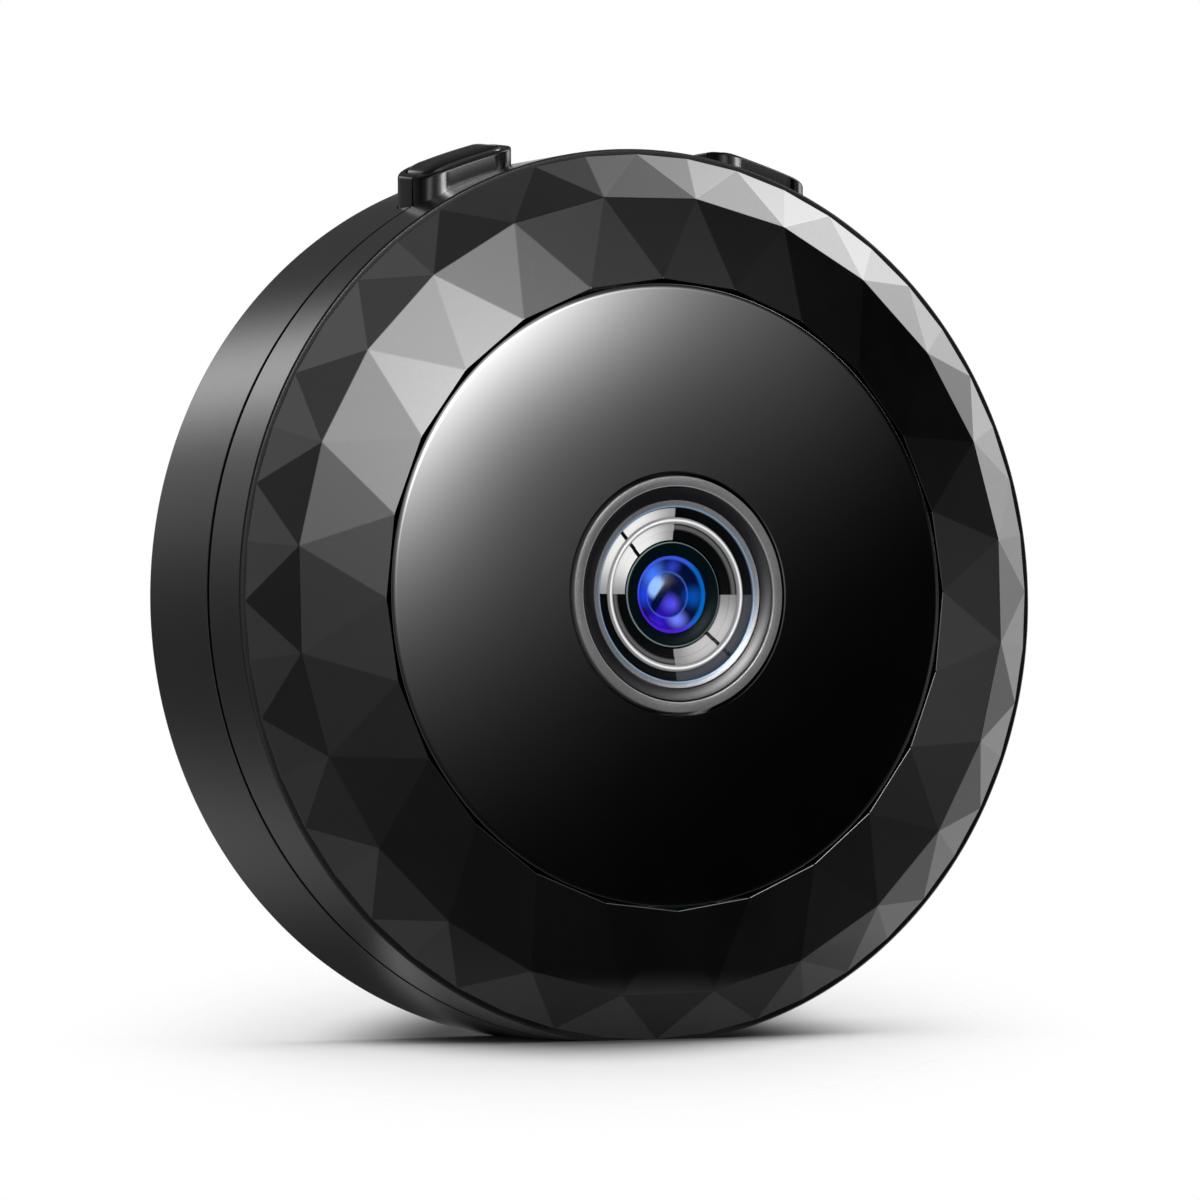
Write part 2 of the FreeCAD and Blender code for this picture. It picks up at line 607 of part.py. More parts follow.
def rear_housing():
    shell = disc(BARREL_RADIUS, 0, BACK_Y)
    rim = [edge for edge in shell.Edges if edge.BoundBox.YMin > BACK_Y - 0.001]
    shell = shell.makeFillet(BACK_EDGE_RADIUS, rim)
    shell = shell.cut(disc(INNER_RADIUS, 0, BACK_WALL_Y))
    magnet_bore = MAGNET_RADIUS + MAGNET_GAP
    rim_y = BACK_WALL_Y - MAGNET_RIM_HEIGHT
    inside = [tube(magnet_bore + MAGNET_RIM_WALL, magnet_bore, rim_y, BACK_WALL_Y)]
    cuts = [disc(PAD_DISC_RADIUS + PAD_DISC_GAP, RECESS_Y, FAR)]
    for angle in SCREW_ANGLES:
        x, z = polar(SCREW_CIRCLE_RADIUS, angle)
        inside.append(disc(COLUMN_RADIUS, MAIN_BOARD_REAR, BACK_WALL_Y, x, z))
        shank = SCREW_RADIUS + SCREW_CLEARANCE
        cuts.append(disc(shank, MAIN_BOARD_REAR, BACK_Y, x, z))
        cuts.append(disc(SCREW_HEAD_RADIUS + SCREW_CLEARANCE, SCREW_SEAT_Y, BACK_Y, x, z))
    cuts += [parting_groove(), floor_cut(), usb_opening(), card_opening()]
    cuts.append(pin_hole(RESET_HOLE_RADIUS, RESET_Y, RESET_ANGLE))
    cuts.append(pin_hole(MIC_HOLE_RADIUS, MIC_HOLE_Y, MIC_ANGLE))
    shell = cut_all(fuse_all(shell, inside), cuts)
    return case_half(shell, 1)


def rear_pad():
    return disc(PAD_DISC_RADIUS, RECESS_Y, BACK_Y)


def magnet():
    return disc(MAGNET_RADIUS, BACK_WALL_Y - MAGNET_THICKNESS, BACK_WALL_Y)


def screw_tip_y():
    return SHELF_FRONT_Y - BOSS_NOSE_LENGTH + 2 * SCREW_TIP_GAP


def case_screws():
    screws = []
    for angle in SCREW_ANGLES:
        x, z = polar(SCREW_CIRCLE_RADIUS, angle)
        head_top = SCREW_SEAT_Y + SCREW_HEAD_HEIGHT
        head = disc(SCREW_HEAD_RADIUS, SCREW_SEAT_Y, head_top, x, z)
        shank = disc(SCREW_RADIUS, screw_tip_y(), SCREW_SEAT_Y, x, z)
        screw = fuse_all(head, [shank])
        for size in ((SCREW_SLOT_WIDTH, 1.4 * SCREW_RADIUS), (1.4 * SCREW_RADIUS, SCREW_SLOT_WIDTH)):
            slot = (2 * size[0], 2 * SCREW_SLOT_DEPTH, 2 * size[1])
            screw = screw.cut(centred_block(slot, (x, head_top, z)))
        screws.append(screw)
    return Part.makeCompound(screws)


# Bezel and window


def bezel_corners():
    """The outer, middle and inner rings of corners of the facets."""
    step = 360.0 / FACET_COUNT

    def corner(radius, rise, angle):
        x, z = polar(radius, angle + FACET_TURN)
        return vec(x, RIM_Y - rise, z)

    outer = [corner(BEZEL_RADIUS, 0, k * step / 2) for k in range(2 * FACET_COUNT)]
    middle = [
        corner(BEZEL_MIDDLE_RADIUS, BEZEL_MIDDLE_RISE, (k + 0.5) * step)
        for k in range(FACET_COUNT)
    ]
    inner = [corner(BEZEL_INNER_RADIUS, BEZEL_INNER_RISE, k * step) for k in range(FACET_COUNT)]
    return outer, middle, inner


def faceted_cap():
    """The solid under all facets, flat in front and behind."""
    outer, middle, inner = bezel_corners()
    loops = [outer, inner]
    for k in range(FACET_COUNT):
        after = (k + 1) % FACET_COUNT
        loops.append([middle[k], middle[after], inner[after]])
        loops.append([inner[k], middle[k], inner[after]])
        loops.append([middle[k], middle[after], outer[2 * after]])
        loops.append([middle[k], outer[2 * k], outer[2 * k + 1]])
        loops.append([middle[k], outer[2 * k + 1], outer[2 * after]])
    faces = [Part.Face(Part.makePolygon(loop + loop[:1])) for loop in loops]
    shell = Part.makeShell(faces)
    shell.sewShape()
    solid = Part.Solid(shell)
    if solid.Volume < 0:
        solid.reverse()
    return solid


def faceted_bezel():
    spigot_radius = INNER_RADIUS - BEZEL_SPIGOT_GAP
    spigot_bore = spigot_radius - BEZEL_SPIGOT_WALL
    spigot_end = SHELF_FRONT_Y - BEZEL_SPIGOT_GAP
    ledge_radius = WINDOW_OPENING_RADIUS + LEDGE_WALL
    hollow_front = RIM_Y - BEZEL_SKIN_RISE
    bezel = fuse_all(faceted_cap(), [tube(spigot_radius, LEDGE_INNER_RADIUS, RIM_Y, spigot_end)])
    inner = bezel_corners()[2]
    opening = Part.Face(Part.makePolygon(inner + inner[:1]))
    opening = opening.extrude(vec(0, WINDOW_SEAT_Y - WINDOW_EDGE_Y, 0))
    cuts = [
        opening,
        disc(LEDGE_INNER_RADIUS, -FAR, FAR),
        tube(spigot_bore, ledge_radius, hollow_front, FAR),
        tube(ledge_radius, LEDGE_INNER_RADIUS, LED_BOARD_FRONT, FAR),
        floor_cut(),
    ]
    return cut_all(bezel, cuts)


def front_window():
    hole = TRIM_RADIUS + WINDOW_HOLE_GAP
    ball = sphere_sag(WINDOW_RADIUS, WINDOW_DOME)
    centre_y = WINDOW_EDGE_Y - WINDOW_DOME + ball

    def front_y(radius):
        return centre_y - math.sqrt(ball ** 2 - radius ** 2)

    middle_radius = (hole + WINDOW_RADIUS) / 2
    front = Part.Arc(
        vec(hole, front_y(hole), 0), vec(middle_radius, front_y(middle_radius), 0),
        vec(WINDOW_RADIUS, WINDOW_EDGE_Y, 0),
    ).toShape()
    return spun([
        front,
        line_edge((WINDOW_RADIUS, WINDOW_EDGE_Y), (WINDOW_RADIUS, WINDOW_REAR_Y)),
        line_edge((WINDOW_RADIUS, WINDOW_REAR_Y), (hole, WINDOW_REAR_Y)),
        line_edge((hole, WINDOW_REAR_Y), (hole, front_y(hole))),
    ])


def window_adhesive():
    return tube(WINDOW_RADIUS, LEDGE_INNER_RADIUS, WINDOW_REAR_Y, WINDOW_SEAT_Y)


# Rings around the lens


def lens_trim_ring():
    flange_end = WINDOW_REAR_Y + TRIM_FLANGE_THICKNESS
    body = tube(TRIM_RADIUS, TRIM_BORE_RADIUS, TRIM_FRONT_Y, flange_end)
    flange = tube(TRIM_FLANGE_RADIUS, TRIM_BORE_RADIUS, WINDOW_REAR_Y, flange_end)
    return fuse_all(body, [flange])


def lens_cone():
    ledge_radius = CONE_BORE_RADIUS - CONE_LEDGE
    floor_y = DIAL_REAR_Y + CONE_FLOOR
    return revolved([
        (CONE_RADIUS, CONE_FRONT_Y), (CONE_BORE_RADIUS, CONE_FRONT_Y + CONE_DROP),
        (CONE_BORE_RADIUS, DIAL_REAR_Y), (ledge_radius, DIAL_REAR_Y),
        (ledge_radius, floor_y), (CONE_RADIUS, floor_y),
    ])


def lens_lip():
    return revolved([
        (LIP_RING_RADIUS, LIP_RING_FRONT_Y),
        (LIP_RING_BORE_RADIUS, LIP_RING_FRONT_Y + LIP_RING_DROP),
        (LIP_RING_BORE_RADIUS, DIAL_REAR_Y), (LIP_RING_RADIUS, DIAL_REAR_Y),
    ])


def dial_slope_y(radius):
    """The dial's front: a shallow funnel that falls towards the barrel nose."""
    share = (DIAL_RADIUS - radius) / (DIAL_RADIUS - DIAL_HOLE_RADIUS)
    return DIAL_FRONT_Y + DIAL_DROP * share


def bead(wire_radius):
    centre = vec(0, dial_slope_y(BEAD_RADIUS) + BEAD_SINK, 0)
    return Part.makeTorus(BEAD_RADIUS, wire_radius, centre, AXIS)


def dial_ring():
    step_y = dial_slope_y(DIAL_STEP_RADIUS)
    dial = revolved([
        (DIAL_RADIUS, DIAL_FRONT_Y), (DIAL_STEP_RADIUS, step_y),
        (DIAL_STEP_RADIUS - DIAL_STEP, step_y + DIAL_STEP),
        (DIAL_HOLE_RADIUS, dial_slope_y(DIAL_HOLE_RADIUS) + DIAL_STEP),
        (DIAL_HOLE_RADIUS, DIAL_REAR_Y), (DIAL_RADIUS, DIAL_REAR_Y),
    ])
    return dial.cut(bead(BEAD_WIRE_RADIUS + RING_FIT / 2))


def bead_ring():
    return bead(BEAD_WIRE_RADIUS)


# Lens


def lens_barrel():
    bore = GLASS_RADIUS + GLASS_FIT
    rear_bore = REAR_GLASS_RADIUS + GLASS_FIT
    return revolved([
        (bore, GLASS_EDGE_Y), (BARREL_NOSE_RADIUS - NOSE_CHAMFER, NOSE_FRONT_Y),
        (BARREL_NOSE_RADIUS, NOSE_FRONT_Y + NOSE_CHAMFER), (BARREL_NOSE_RADIUS, SHOULDER_Y),
        (LENS_THREAD_RADIUS, SHOULDER_Y), (LENS_THREAD_RADIUS, BARREL_END_Y),
        (rear_bore, BARREL_END_Y), (rear_bore, THIRD_LENS_Y),
        (SPACER_HOLE_RADIUS, THIRD_LENS_Y), (SPACER_HOLE_RADIUS, STOP_Y), (bore, STOP_Y),
    ])


def lens_element(rim_radius, front, rear):
    """A lens from its two faces, each given as (radius, y of its edge, y of its middle).

    A face that is smaller than the rim has a flat annulus round it.
    """
    edges = [line_edge((rim_radius, front[1]), (rim_radius, rear[1]))]
    for radius, edge_y, apex_y in (front, rear):
        edges.append(dome_edge(radius, edge_y, apex_y))
        if radius < rim_radius:
            edges.append(line_edge((rim_radius, edge_y), (radius, edge_y)))
    edges.append(line_edge((0, rear[2]), (0, front[2])))
    return spun(edges)


def front_lens():
    return lens_element(
        GLASS_RADIUS,
        (GLASS_RADIUS, GLASS_EDGE_Y, GLASS_EDGE_Y - GLASS_DOME),
        (SPACER_HOLE_RADIUS, GLASS_REAR_Y, GLASS_REAR_Y - GLASS_HOLLOW),
    )


def lens_spacer_front():
    return tube(GLASS_RADIUS, SPACER_HOLE_RADIUS, GLASS_REAR_Y, SECOND_LENS_Y)


def second_lens():
    return lens_element(
        GLASS_RADIUS,
        (SPACER_HOLE_RADIUS, SECOND_LENS_Y, SECOND_LENS_Y - SECOND_LENS_DOME),
        (SPACER_HOLE_RADIUS, STOP_Y, STOP_Y + STOP_THICKNESS / 2),
    )


def third_lens():
    return lens_element(
        REAR_GLASS_RADIUS,
        (REAR_GLASS_RADIUS, THIRD_LENS_Y, THIRD_LENS_Y + THIRD_LENS_HOLLOW),
        (REAR_SPACER_HOLE_RADIUS, REAR_SPACER_Y, REAR_SPACER_Y + THIRD_LENS_HOLLOW / 2),
    )


def lens_spacer_rear():
    return tube(REAR_GLASS_RADIUS, REAR_SPACER_HOLE_RADIUS, REAR_SPACER_Y, REAR_LENS_Y)


def rear_lens():
    return lens_element(
        REAR_GLASS_RADIUS,
        (REAR_GLASS_RADIUS, REAR_LENS_Y, REAR_LENS_Y + REAR_LENS_DOME),
        (REAR_SPACER_HOLE_RADIUS, RETAINER_Y, RETAINER_Y + REAR_LENS_DOME),
    )


def lens_retaining_ring():
    end = RETAINER_Y + RETAINER_THICKNESS
    return tube(REAR_GLASS_RADIUS, REAR_SPACER_HOLE_RADIUS, RETAINER_Y, end)


def lens_holder():
    flange_y = MAIN_BOARD_FRONT - HOLDER_FLANGE_THICKNESS
    tower = disc(HOLDER_TOWER_RADIUS, flange_y - HOLDER_TOWER_LENGTH, MAIN_BOARD_FRONT)
    flange = disc(HOLDER_FLANGE_RADIUS, flange_y, MAIN_BOARD_FRONT)
    half = HOLDER_BODY / 2
    body = block(-half, half, MAIN_BOARD_FRONT, HOLDER_REAR_Y, -half, half)
    holder = fuse_all(tower, [flange, body])
    window = FILTER_WINDOW / 2
    pocket = HOLDER_POCKET / 2
    return cut_all(holder, [
        disc(LENS_THREAD_RADIUS + LENS_THREAD_FIT, -FAR, FILTER_WEB_Y),
        block(-window, window, -FAR, FAR, -window, window),
        block(-pocket, pocket, FILTER_Y, FAR, -pocket, pocket),
    ])


def ir_cut_filter():
    size = (FILTER_SIZE, FILTER_THICKNESS, FILTER_SIZE)
    return centred_block(size, (0, FILTER_Y + FILTER_THICKNESS / 2, 0))


def image_sensor():
    size = (SENSOR_SIZE, SENSOR_THICKNESS, SENSOR_SIZE)
    return centred_block(size, (0, SENSOR_Y + SENSOR_THICKNESS / 2, 0))


def camera_board():
    size = (CAMERA_BOARD_SIZE, CAMERA_BOARD_THICKNESS, CAMERA_BOARD_SIZE)
    return centred_block(size, (0, HOLDER_REAR_Y + CAMERA_BOARD_THICKNESS / 2, 0))


def camera_ribbon():
    half = RIBBON_THICKNESS / 2
    width = RIBBON_WIDTH / 2
    start = -CAMERA_BOARD_SIZE / 2
    return block(RIBBON_END_X, start, RIBBON_Y - half, RIBBON_Y + half, -width, width)


def ribbon_connector():
    length, height, width = RIBBON_SOCKET_SIZE
    mouth = RIBBON_END_X + RIBBON_SOCKET_GRIP
    body = block(
        mouth - length, mouth, MAIN_BOARD_REAR, MAIN_BOARD_REAR + height, -width / 2, width / 2
    )
    half = RIBBON_THICKNESS / 2 + RIBBON_FIT
    side = RIBBON_WIDTH / 2 + RIBBON_FIT
    slot = block(RIBBON_END_X, mouth, RIBBON_Y - half, RIBBON_Y + half, -side, side)
    return body.cut(slot)


# Boards and the parts on them


def main_board():
    board = disc(MAIN_BOARD_RADIUS, MAIN_BOARD_FRONT, MAIN_BOARD_REAR)
    half = HOLDER_BODY / 2 + HOLDER_BODY_GAP
    cuts = [block(-half, half, -FAR, FAR, -half, half)]
    for angle in SCREW_ANGLES:
        x, z = polar(SCREW_CIRCLE_RADIUS, angle)
        cuts.append(disc(SCREW_RADIUS + SCREW_CLEARANCE, -FAR, FAR, x, z))
    for side in (-1, 1):
        x = side * BUTTON_X
        reach = COLLAR_LENGTH / 2 + BOARD_NOTCH_GAP
        cuts.append(block(x - reach, x + reach, -FAR, FAR, NOTCH_Z, FAR))
    cuts += link_pin_blocks(LINK_PIN_WIDTH + 2 * RING_FIT)
    return cut_all(board, cuts)


def link_pin_blocks(width):
    """The square pins that join the two boards."""
    low = LED_BOARD_FRONT - LINK_TAIL
    high = MAIN_BOARD_REAR + LINK_TAIL
    size = (width, high - low, width)
    first = -(LINK_PIN_COUNT - 1) / 2
    return [
        centred_block(size, (LINK_X, (low + high) / 2, (first + k) * LINK_PITCH))
        for k in range(LINK_PIN_COUNT)
    ]


def link_pins():
    return Part.makeCompound(link_pin_blocks(LINK_PIN_WIDTH))


def link_header():
    half = LINK_PIN_COUNT * LINK_PITCH / 2
    side = LINK_BODY_WIDTH / 2
    body = block(LINK_X - side, LINK_X + side, SHELF_FRONT_Y, MAIN_BOARD_FRONT, -half, half)
    return cut_all(body, link_pin_blocks(LINK_PIN_WIDTH + 2 * RING_FIT))


def led_board():
    board = tube(LED_BOARD_RADIUS, LED_BOARD_HOLE_RADIUS, LED_BOARD_FRONT, SHELF_FRONT_Y)
    return cut_all(board, link_pin_blocks(LINK_PIN_WIDTH + 2 * RING_FIT))


def ir_leds():
    leds = []
    for k in range(IR_LED_COUNT):
        size = (IR_LED_SIZE, IR_LED_HEIGHT, IR_LED_SIZE)
        centre = (LED_CIRCLE_RADIUS, LED_BOARD_FRONT - IR_LED_HEIGHT / 2, 0)
        led = centred_block(size, centre)
        cup_y = LED_BOARD_FRONT - IR_LED_HEIGHT
        cup = disc(IR_LED_DOME_RADIUS, cup_y, cup_y + IR_LED_HEIGHT / 4, LED_CIRCLE_RADIUS)
        angle = IR_LED_FIRST_ANGLE + 360.0 * k / IR_LED_COUNT
        leds.append(turned(led.cut(cup), angle))
    return Part.makeCompound(leds)


def status_leds():
    y = LED_BOARD_FRONT - STATUS_LED_SIZE[1] / 2
    places = [(LED_CIRCLE_RADIUS, y, side * STATUS_LED_PITCH / 2) for side in (-1, 1)]
    return Part.makeCompound([centred_block(STATUS_LED_SIZE, place) for place in places])


def light_sensor():
    centre = (LED_CIRCLE_RADIUS, LED_BOARD_FRONT - LIGHT_SENSOR_SIZE[1] / 2, 0)
    return turned(centred_block(LIGHT_SENSOR_SIZE, centre), LIGHT_SENSOR_ANGLE)


def light_shield():
    return tube(SHIELD_RADIUS, SHIELD_INNER_RADIUS, WINDOW_REAR_Y, LED_BOARD_FRONT)


def board_capacitors():
    width, height, depth = CAPACITOR_SIZE
    return Part.makeCompound([
        on_board((x - width / 2, z - depth / 2, width, height, depth))
        for x, z in CAPACITOR_PLACES
    ])


def microphone():
    radial, height, across = MIC_SIZE
    centre = (MIC_RADIUS, MAIN_BOARD_REAR + height / 2, 0)
    return turned(centred_block((radial, height, across), centre), MIC_ANGLE)


def reset_switch_body():
    radial, height, across = RESET_SIZE
    centre = (RESET_RADIUS, MAIN_BOARD_REAR + height / 2, 0)
    body = centred_block((radial, height, across), centre)
    face = RESET_RADIUS + radial / 2
    start = face + RESET_PLUNGER_PROUD - RESET_PLUNGER_LENGTH - RESET_TRAVEL - PLUNGER_FIT
    bore = Part.makeCylinder(
        RESET_PLUNGER_RADIUS + PLUNGER_FIT, FAR, vec(start, RESET_Y, 0), vec(1, 0, 0)
    )
    return turned(body.cut(bore), RESET_ANGLE)


def reset_plunger():
    face = RESET_RADIUS + RESET_SIZE[0] / 2
    start = vec(face + RESET_PLUNGER_PROUD - RESET_PLUNGER_LENGTH, RESET_Y, 0)
    pin = Part.makeCylinder(RESET_PLUNGER_RADIUS, RESET_PLUNGER_LENGTH, start, vec(1, 0, 0))
    return turned(pin, RESET_ANGLE)


# Sockets


def usb_section(wall, x_end):
    """The socket's outline, this far inside its shell, with two rounded corners."""
    half = USB_HALF_WIDTH - wall
    start = USB_MOUTH_RADIUS - USB_LENGTH + wall
    low = MAIN_BOARD_REAR + wall
    high = MAIN_BOARD_REAR + USB_HEIGHT - wall
    body = block(start, x_end, low, high, -half, half)
    corners = [
        edge for edge in body.Edges
        if edge.BoundBox.XLength > USB_WALL and edge.BoundBox.ZLength < USB_WALL
        and edge.BoundBox.YMin > (low + high) / 2
    ]
    return body.makeFillet(USB_CORNER_RADIUS - wall, corners)


def usb_shell():
    return usb_section(0, USB_MOUTH_RADIUS).cut(usb_section(USB_WALL, FAR))


def usb_tongue():
    wall = USB_WALL + RING_FIT
    start = USB_MOUTH_RADIUS - USB_LENGTH + wall
    base = usb_section(wall, start + USB_BASE_LENGTH)
    middle = MAIN_BOARD_REAR + USB_HEIGHT / 2
    half = USB_TONGUE_WIDTH / 2 * BOARD_SHARE
    tongue = block(
        start, USB_MOUTH_RADIUS - USB_TONGUE_SINK, middle - USB_TONGUE_THICKNESS / 2,
        middle + USB_TONGUE_THICKNESS / 2, -half, half,
    )
    return fuse_all(base, [tongue])


def card_shell():
    half = CARD_HALF_WIDTH
    high = MAIN_BOARD_REAR + CARD_SOCKET_HEIGHT
    outer = block(CARD_START, CARD_END, MAIN_BOARD_REAR, high, -half, half)
    inner_half = half - CARD_SHEET
    start = CARD_START + CARD_SHEET
    inner = block(start, FAR, -FAR, high - CARD_SHEET, -inner_half, inner_half)
    return turned(outer.cut(inner), CARD_ANGLE)


def card_base():
    half = CARD_HALF_WIDTH - CARD_SHEET
    start = CARD_START + CARD_SHEET
    end = CARD_END - CARD_SHEET
    low = MAIN_BOARD_REAR
    high = MAIN_BOARD_REAR + CARD_SOCKET_HEIGHT - CARD_SHEET
    floor = block(start, end, low, low + CARD_BASE_THICKNESS, -half, half)
    stop = block(start, start + CARD_STOP_LENGTH, low, high, -half, half)
    return turned(fuse_all(floor, [stop]), CARD_ANGLE)


# Battery


def battery():
    size = (BATTERY_WIDTH * BOARD_SHARE, BATTERY_THICKNESS, BATTERY_HEIGHT * BOARD_SHARE)
    cell = centred_block(size, (0, (BATTERY_FRONT_Y + BATTERY_REAR_Y) / 2, 0))
    return cell.makeFillet(BATTERY_EDGE_RADIUS, cell.Edges)


def battery_foam():
    size = (FOAM_WIDTH * BOARD_SHARE, BATTERY_BACK_GAP, FOAM_LENGTH * BOARD_SHARE)
    y = BATTERY_REAR_Y + BATTERY_BACK_GAP / 2
    return Part.makeCompound([
        centred_block(size, (side * FOAM_OFFSET * BOARD_SHARE, y, 0)) for side in (-1, 1)
    ])


def battery_leads():
    """Two wires from the battery's top edge, in an S bend to the connector."""
    leads = []
    low = BATTERY_HEIGHT / 2 * BOARD_SHARE
    high = low + LEAD_RUN * BOARD_SHARE
    middle = (low + high) / 2
    out_y = BATTERY_FRONT_Y + LEAD_EXIT
    in_y = MAIN_BOARD_REAR + BATTERY_SOCKET_SIZE[1] / 2
    bend = LEAD_BEND_RADIUS
    slant = bend * math.sqrt(0.5)
    for side in (-1, 1):
        x = side * LEAD_SPACING / 2
        first = Part.Arc(
            vec(x, out_y, middle - bend), vec(x, out_y - bend + slant, middle - bend + slant),
            vec(x, out_y - bend, middle),
        )
        second = Part.Arc(
            vec(x, in_y + bend, middle), vec(x, in_y + bend - slant, middle + bend - slant),
            vec(x, in_y, middle + bend),
        )
        path = Part.Wire([
            Part.makeLine(vec(x, out_y, low), vec(x, out_y, middle - bend)),
            first.toShape(),
            Part.makeLine(vec(x, out_y - bend, middle), vec(x, in_y + bend, middle)),
            second.toShape(),
            Part.makeLine(vec(x, in_y, middle + bend), vec(x, in_y, high)),
        ])
        section = Part.Wire(Part.makeCircle(LEAD_RADIUS, vec(x, out_y, low), UP))
        leads.append(path.makePipeShell([section], True, False))
    return Part.makeCompound(leads)


def battery_connector():
    width, height, depth = BATTERY_SOCKET_SIZE
    low = BATTERY_HEIGHT / 2 + LEAD_RUN
    return on_board((-width / 2, low, width, height, depth), CHIP_CHAMFER)


PIECES = {
    "front_ring": front_ring,
    "rear_housing": rear_housing,
    "faceted_bezel": faceted_bezel,
    "front_window": front_window,
    "window_adhesive": window_adhesive,
    "rear_pad": rear_pad,
    "magnet": magnet,
    "case_screws": case_screws,
    "lens_trim_ring": lens_trim_ring,
    "lens_cone": lens_cone,
    "lens_lip": lens_lip,
    "dial_ring": dial_ring,
    "bead_ring": bead_ring,
    "lens_barrel": lens_barrel,
    "front_lens": front_lens,
    "lens_spacer_front": lens_spacer_front,
    "second_lens": second_lens,
    "third_lens": third_lens,
    "lens_spacer_rear": lens_spacer_rear,
    "rear_lens": rear_lens,
    "lens_retaining_ring": lens_retaining_ring,
    "lens_holder": lens_holder,
    "ir_cut_filter": ir_cut_filter,
    "image_sensor": image_sensor,
    "camera_board": camera_board,
    "camera_ribbon": camera_ribbon,
    "ribbon_connector": ribbon_connector,
    "main_board": main_board,
    "processor": lambda: on_board(PROCESSOR_BOX, CHIP_CHAMFER),
    "flash_chip": lambda: on_board(FLASH_BOX, CHIP_CHAMFER),
    "wifi_module": lambda: on_board(WIFI_BOX, CHIP_CHAMFER),
    "antenna": lambda: on_board(ANTENNA_BOX),
    "crystal": lambda: on_board(CRYSTAL_BOX, CHIP_CHAMFER),
    "power_chip": lambda: on_board(POWER_CHIP_BOX, CHIP_CHAMFER),
    "board_capacitors": board_capacitors,
    "microphone": microphone,
    "led_board": led_board,
    "ir_leds": ir_leds,
    "status_leds": status_leds,
    "light_sensor": light_sensor,
    "light_shield": light_shield,
    "link_header": link_header,
    "link_pins": link_pins,
    "reset_switch_body": reset_switch_body,
    "reset_plunger": reset_plunger,
    "usb_shell": usb_shell,
    "usb_tongue": usb_tongue,
    "card_shell": card_shell,
    "card_base": card_base,
    "battery": battery,
    "battery_foam": battery_foam,
    "battery_leads": battery_leads,
    "battery_connector": battery_connector,
}
for side_name, side_sign in (("left", -1), ("right", 1)):
    PIECES[side_name + "_button_cap"] = lambda side=side_sign: button_cap(side)
    PIECES[side_name + "_switch_body"] = lambda side=side_sign: switch_body(side)
    PIECES[side_name + "_switch_plunger"] = lambda side=side_sign: switch_plunger(side)

os.makedirs("parts", exist_ok=True)
for node, make in PIECES.items():
    piece = make().translated(vec(0, 0, AXIS_HEIGHT))
    piece.exportStep(os.path.join("parts", node + ".step"))
    print(node, len(piece.Solids), piece.isValid(), round(piece.Volume, 2))
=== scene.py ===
"""Looks of a coin-shaped mini security camera that stands on its rim.

Sizes are written in millimetres from the barrel's axis and the parting plane, as on a
maker's drawing, and every mesh is lifted to the row frame and turned into metres when it
is made. The camera looks along -Y, +X is on the right seen from the front, +Z is up.
"""

from __future__ import annotations

import json
import logging
import math
from collections.abc import Callable, Iterable, Sequence
from dataclasses import dataclass, replace
from enum import Enum

import bmesh
import bpy
from bmesh.types import BMEdge, BMesh
from bpy.types import Material, Mesh, Node, NodeSocket, NodeTree, Object, World
from mathutils import Matrix, Vector

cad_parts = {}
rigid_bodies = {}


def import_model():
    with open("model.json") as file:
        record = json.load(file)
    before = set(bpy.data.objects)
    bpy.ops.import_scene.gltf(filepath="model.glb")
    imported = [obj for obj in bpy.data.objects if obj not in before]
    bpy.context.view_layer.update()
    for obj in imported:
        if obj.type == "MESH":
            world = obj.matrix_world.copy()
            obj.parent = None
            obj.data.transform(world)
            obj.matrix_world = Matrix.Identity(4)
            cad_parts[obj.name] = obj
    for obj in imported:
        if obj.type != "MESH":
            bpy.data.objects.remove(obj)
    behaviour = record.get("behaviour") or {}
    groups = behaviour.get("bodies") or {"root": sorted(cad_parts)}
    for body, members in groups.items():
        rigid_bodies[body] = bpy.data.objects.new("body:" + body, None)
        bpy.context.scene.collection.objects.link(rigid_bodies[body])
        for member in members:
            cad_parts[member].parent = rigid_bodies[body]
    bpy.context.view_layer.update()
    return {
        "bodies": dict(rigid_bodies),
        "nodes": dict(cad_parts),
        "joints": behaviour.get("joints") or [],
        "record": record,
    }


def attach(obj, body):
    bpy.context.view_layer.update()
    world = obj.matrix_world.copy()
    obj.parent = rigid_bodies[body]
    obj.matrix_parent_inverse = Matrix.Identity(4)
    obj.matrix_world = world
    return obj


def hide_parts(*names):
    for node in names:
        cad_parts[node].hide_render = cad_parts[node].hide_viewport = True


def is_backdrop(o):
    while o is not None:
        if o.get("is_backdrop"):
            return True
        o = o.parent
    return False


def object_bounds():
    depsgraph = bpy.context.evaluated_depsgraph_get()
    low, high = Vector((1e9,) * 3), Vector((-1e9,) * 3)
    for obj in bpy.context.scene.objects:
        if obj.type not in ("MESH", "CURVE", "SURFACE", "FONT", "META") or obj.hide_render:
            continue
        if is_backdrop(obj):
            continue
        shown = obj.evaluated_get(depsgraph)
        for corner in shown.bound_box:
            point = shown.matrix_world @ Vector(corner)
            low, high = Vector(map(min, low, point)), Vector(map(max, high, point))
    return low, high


LOG = logging.getLogger("camera")
MM = 0.001
AXIS_HEIGHT = 22.25
BODY = "camera_body"
# Radii under ON_AXIS millimetres lie on the axis, and no side of a loop is under THIN millimetres.
ON_AXIS = 1e-6
THIN = 1e-3
# Points nearer than WELD metres are one, and ROUND is the number of steps round a lens ring or the window.
WELD = 1e-7
ROUND = 256
NEARLY_STRAIGHT = math.radians(172)

Point = tuple[float, float]
Spot = tuple[float, float, float]
Colour = tuple[float, float, float]
Height = Callable[[float, float], float]


class Side(Enum):
    """Which of the two buttons a piece belongs to."""

    LEFT = -1
    RIGHT = 1

    @property
    def body(self) -> str:
        """The moving body of this side's button."""
        return f"{self.name.lower()}_button"


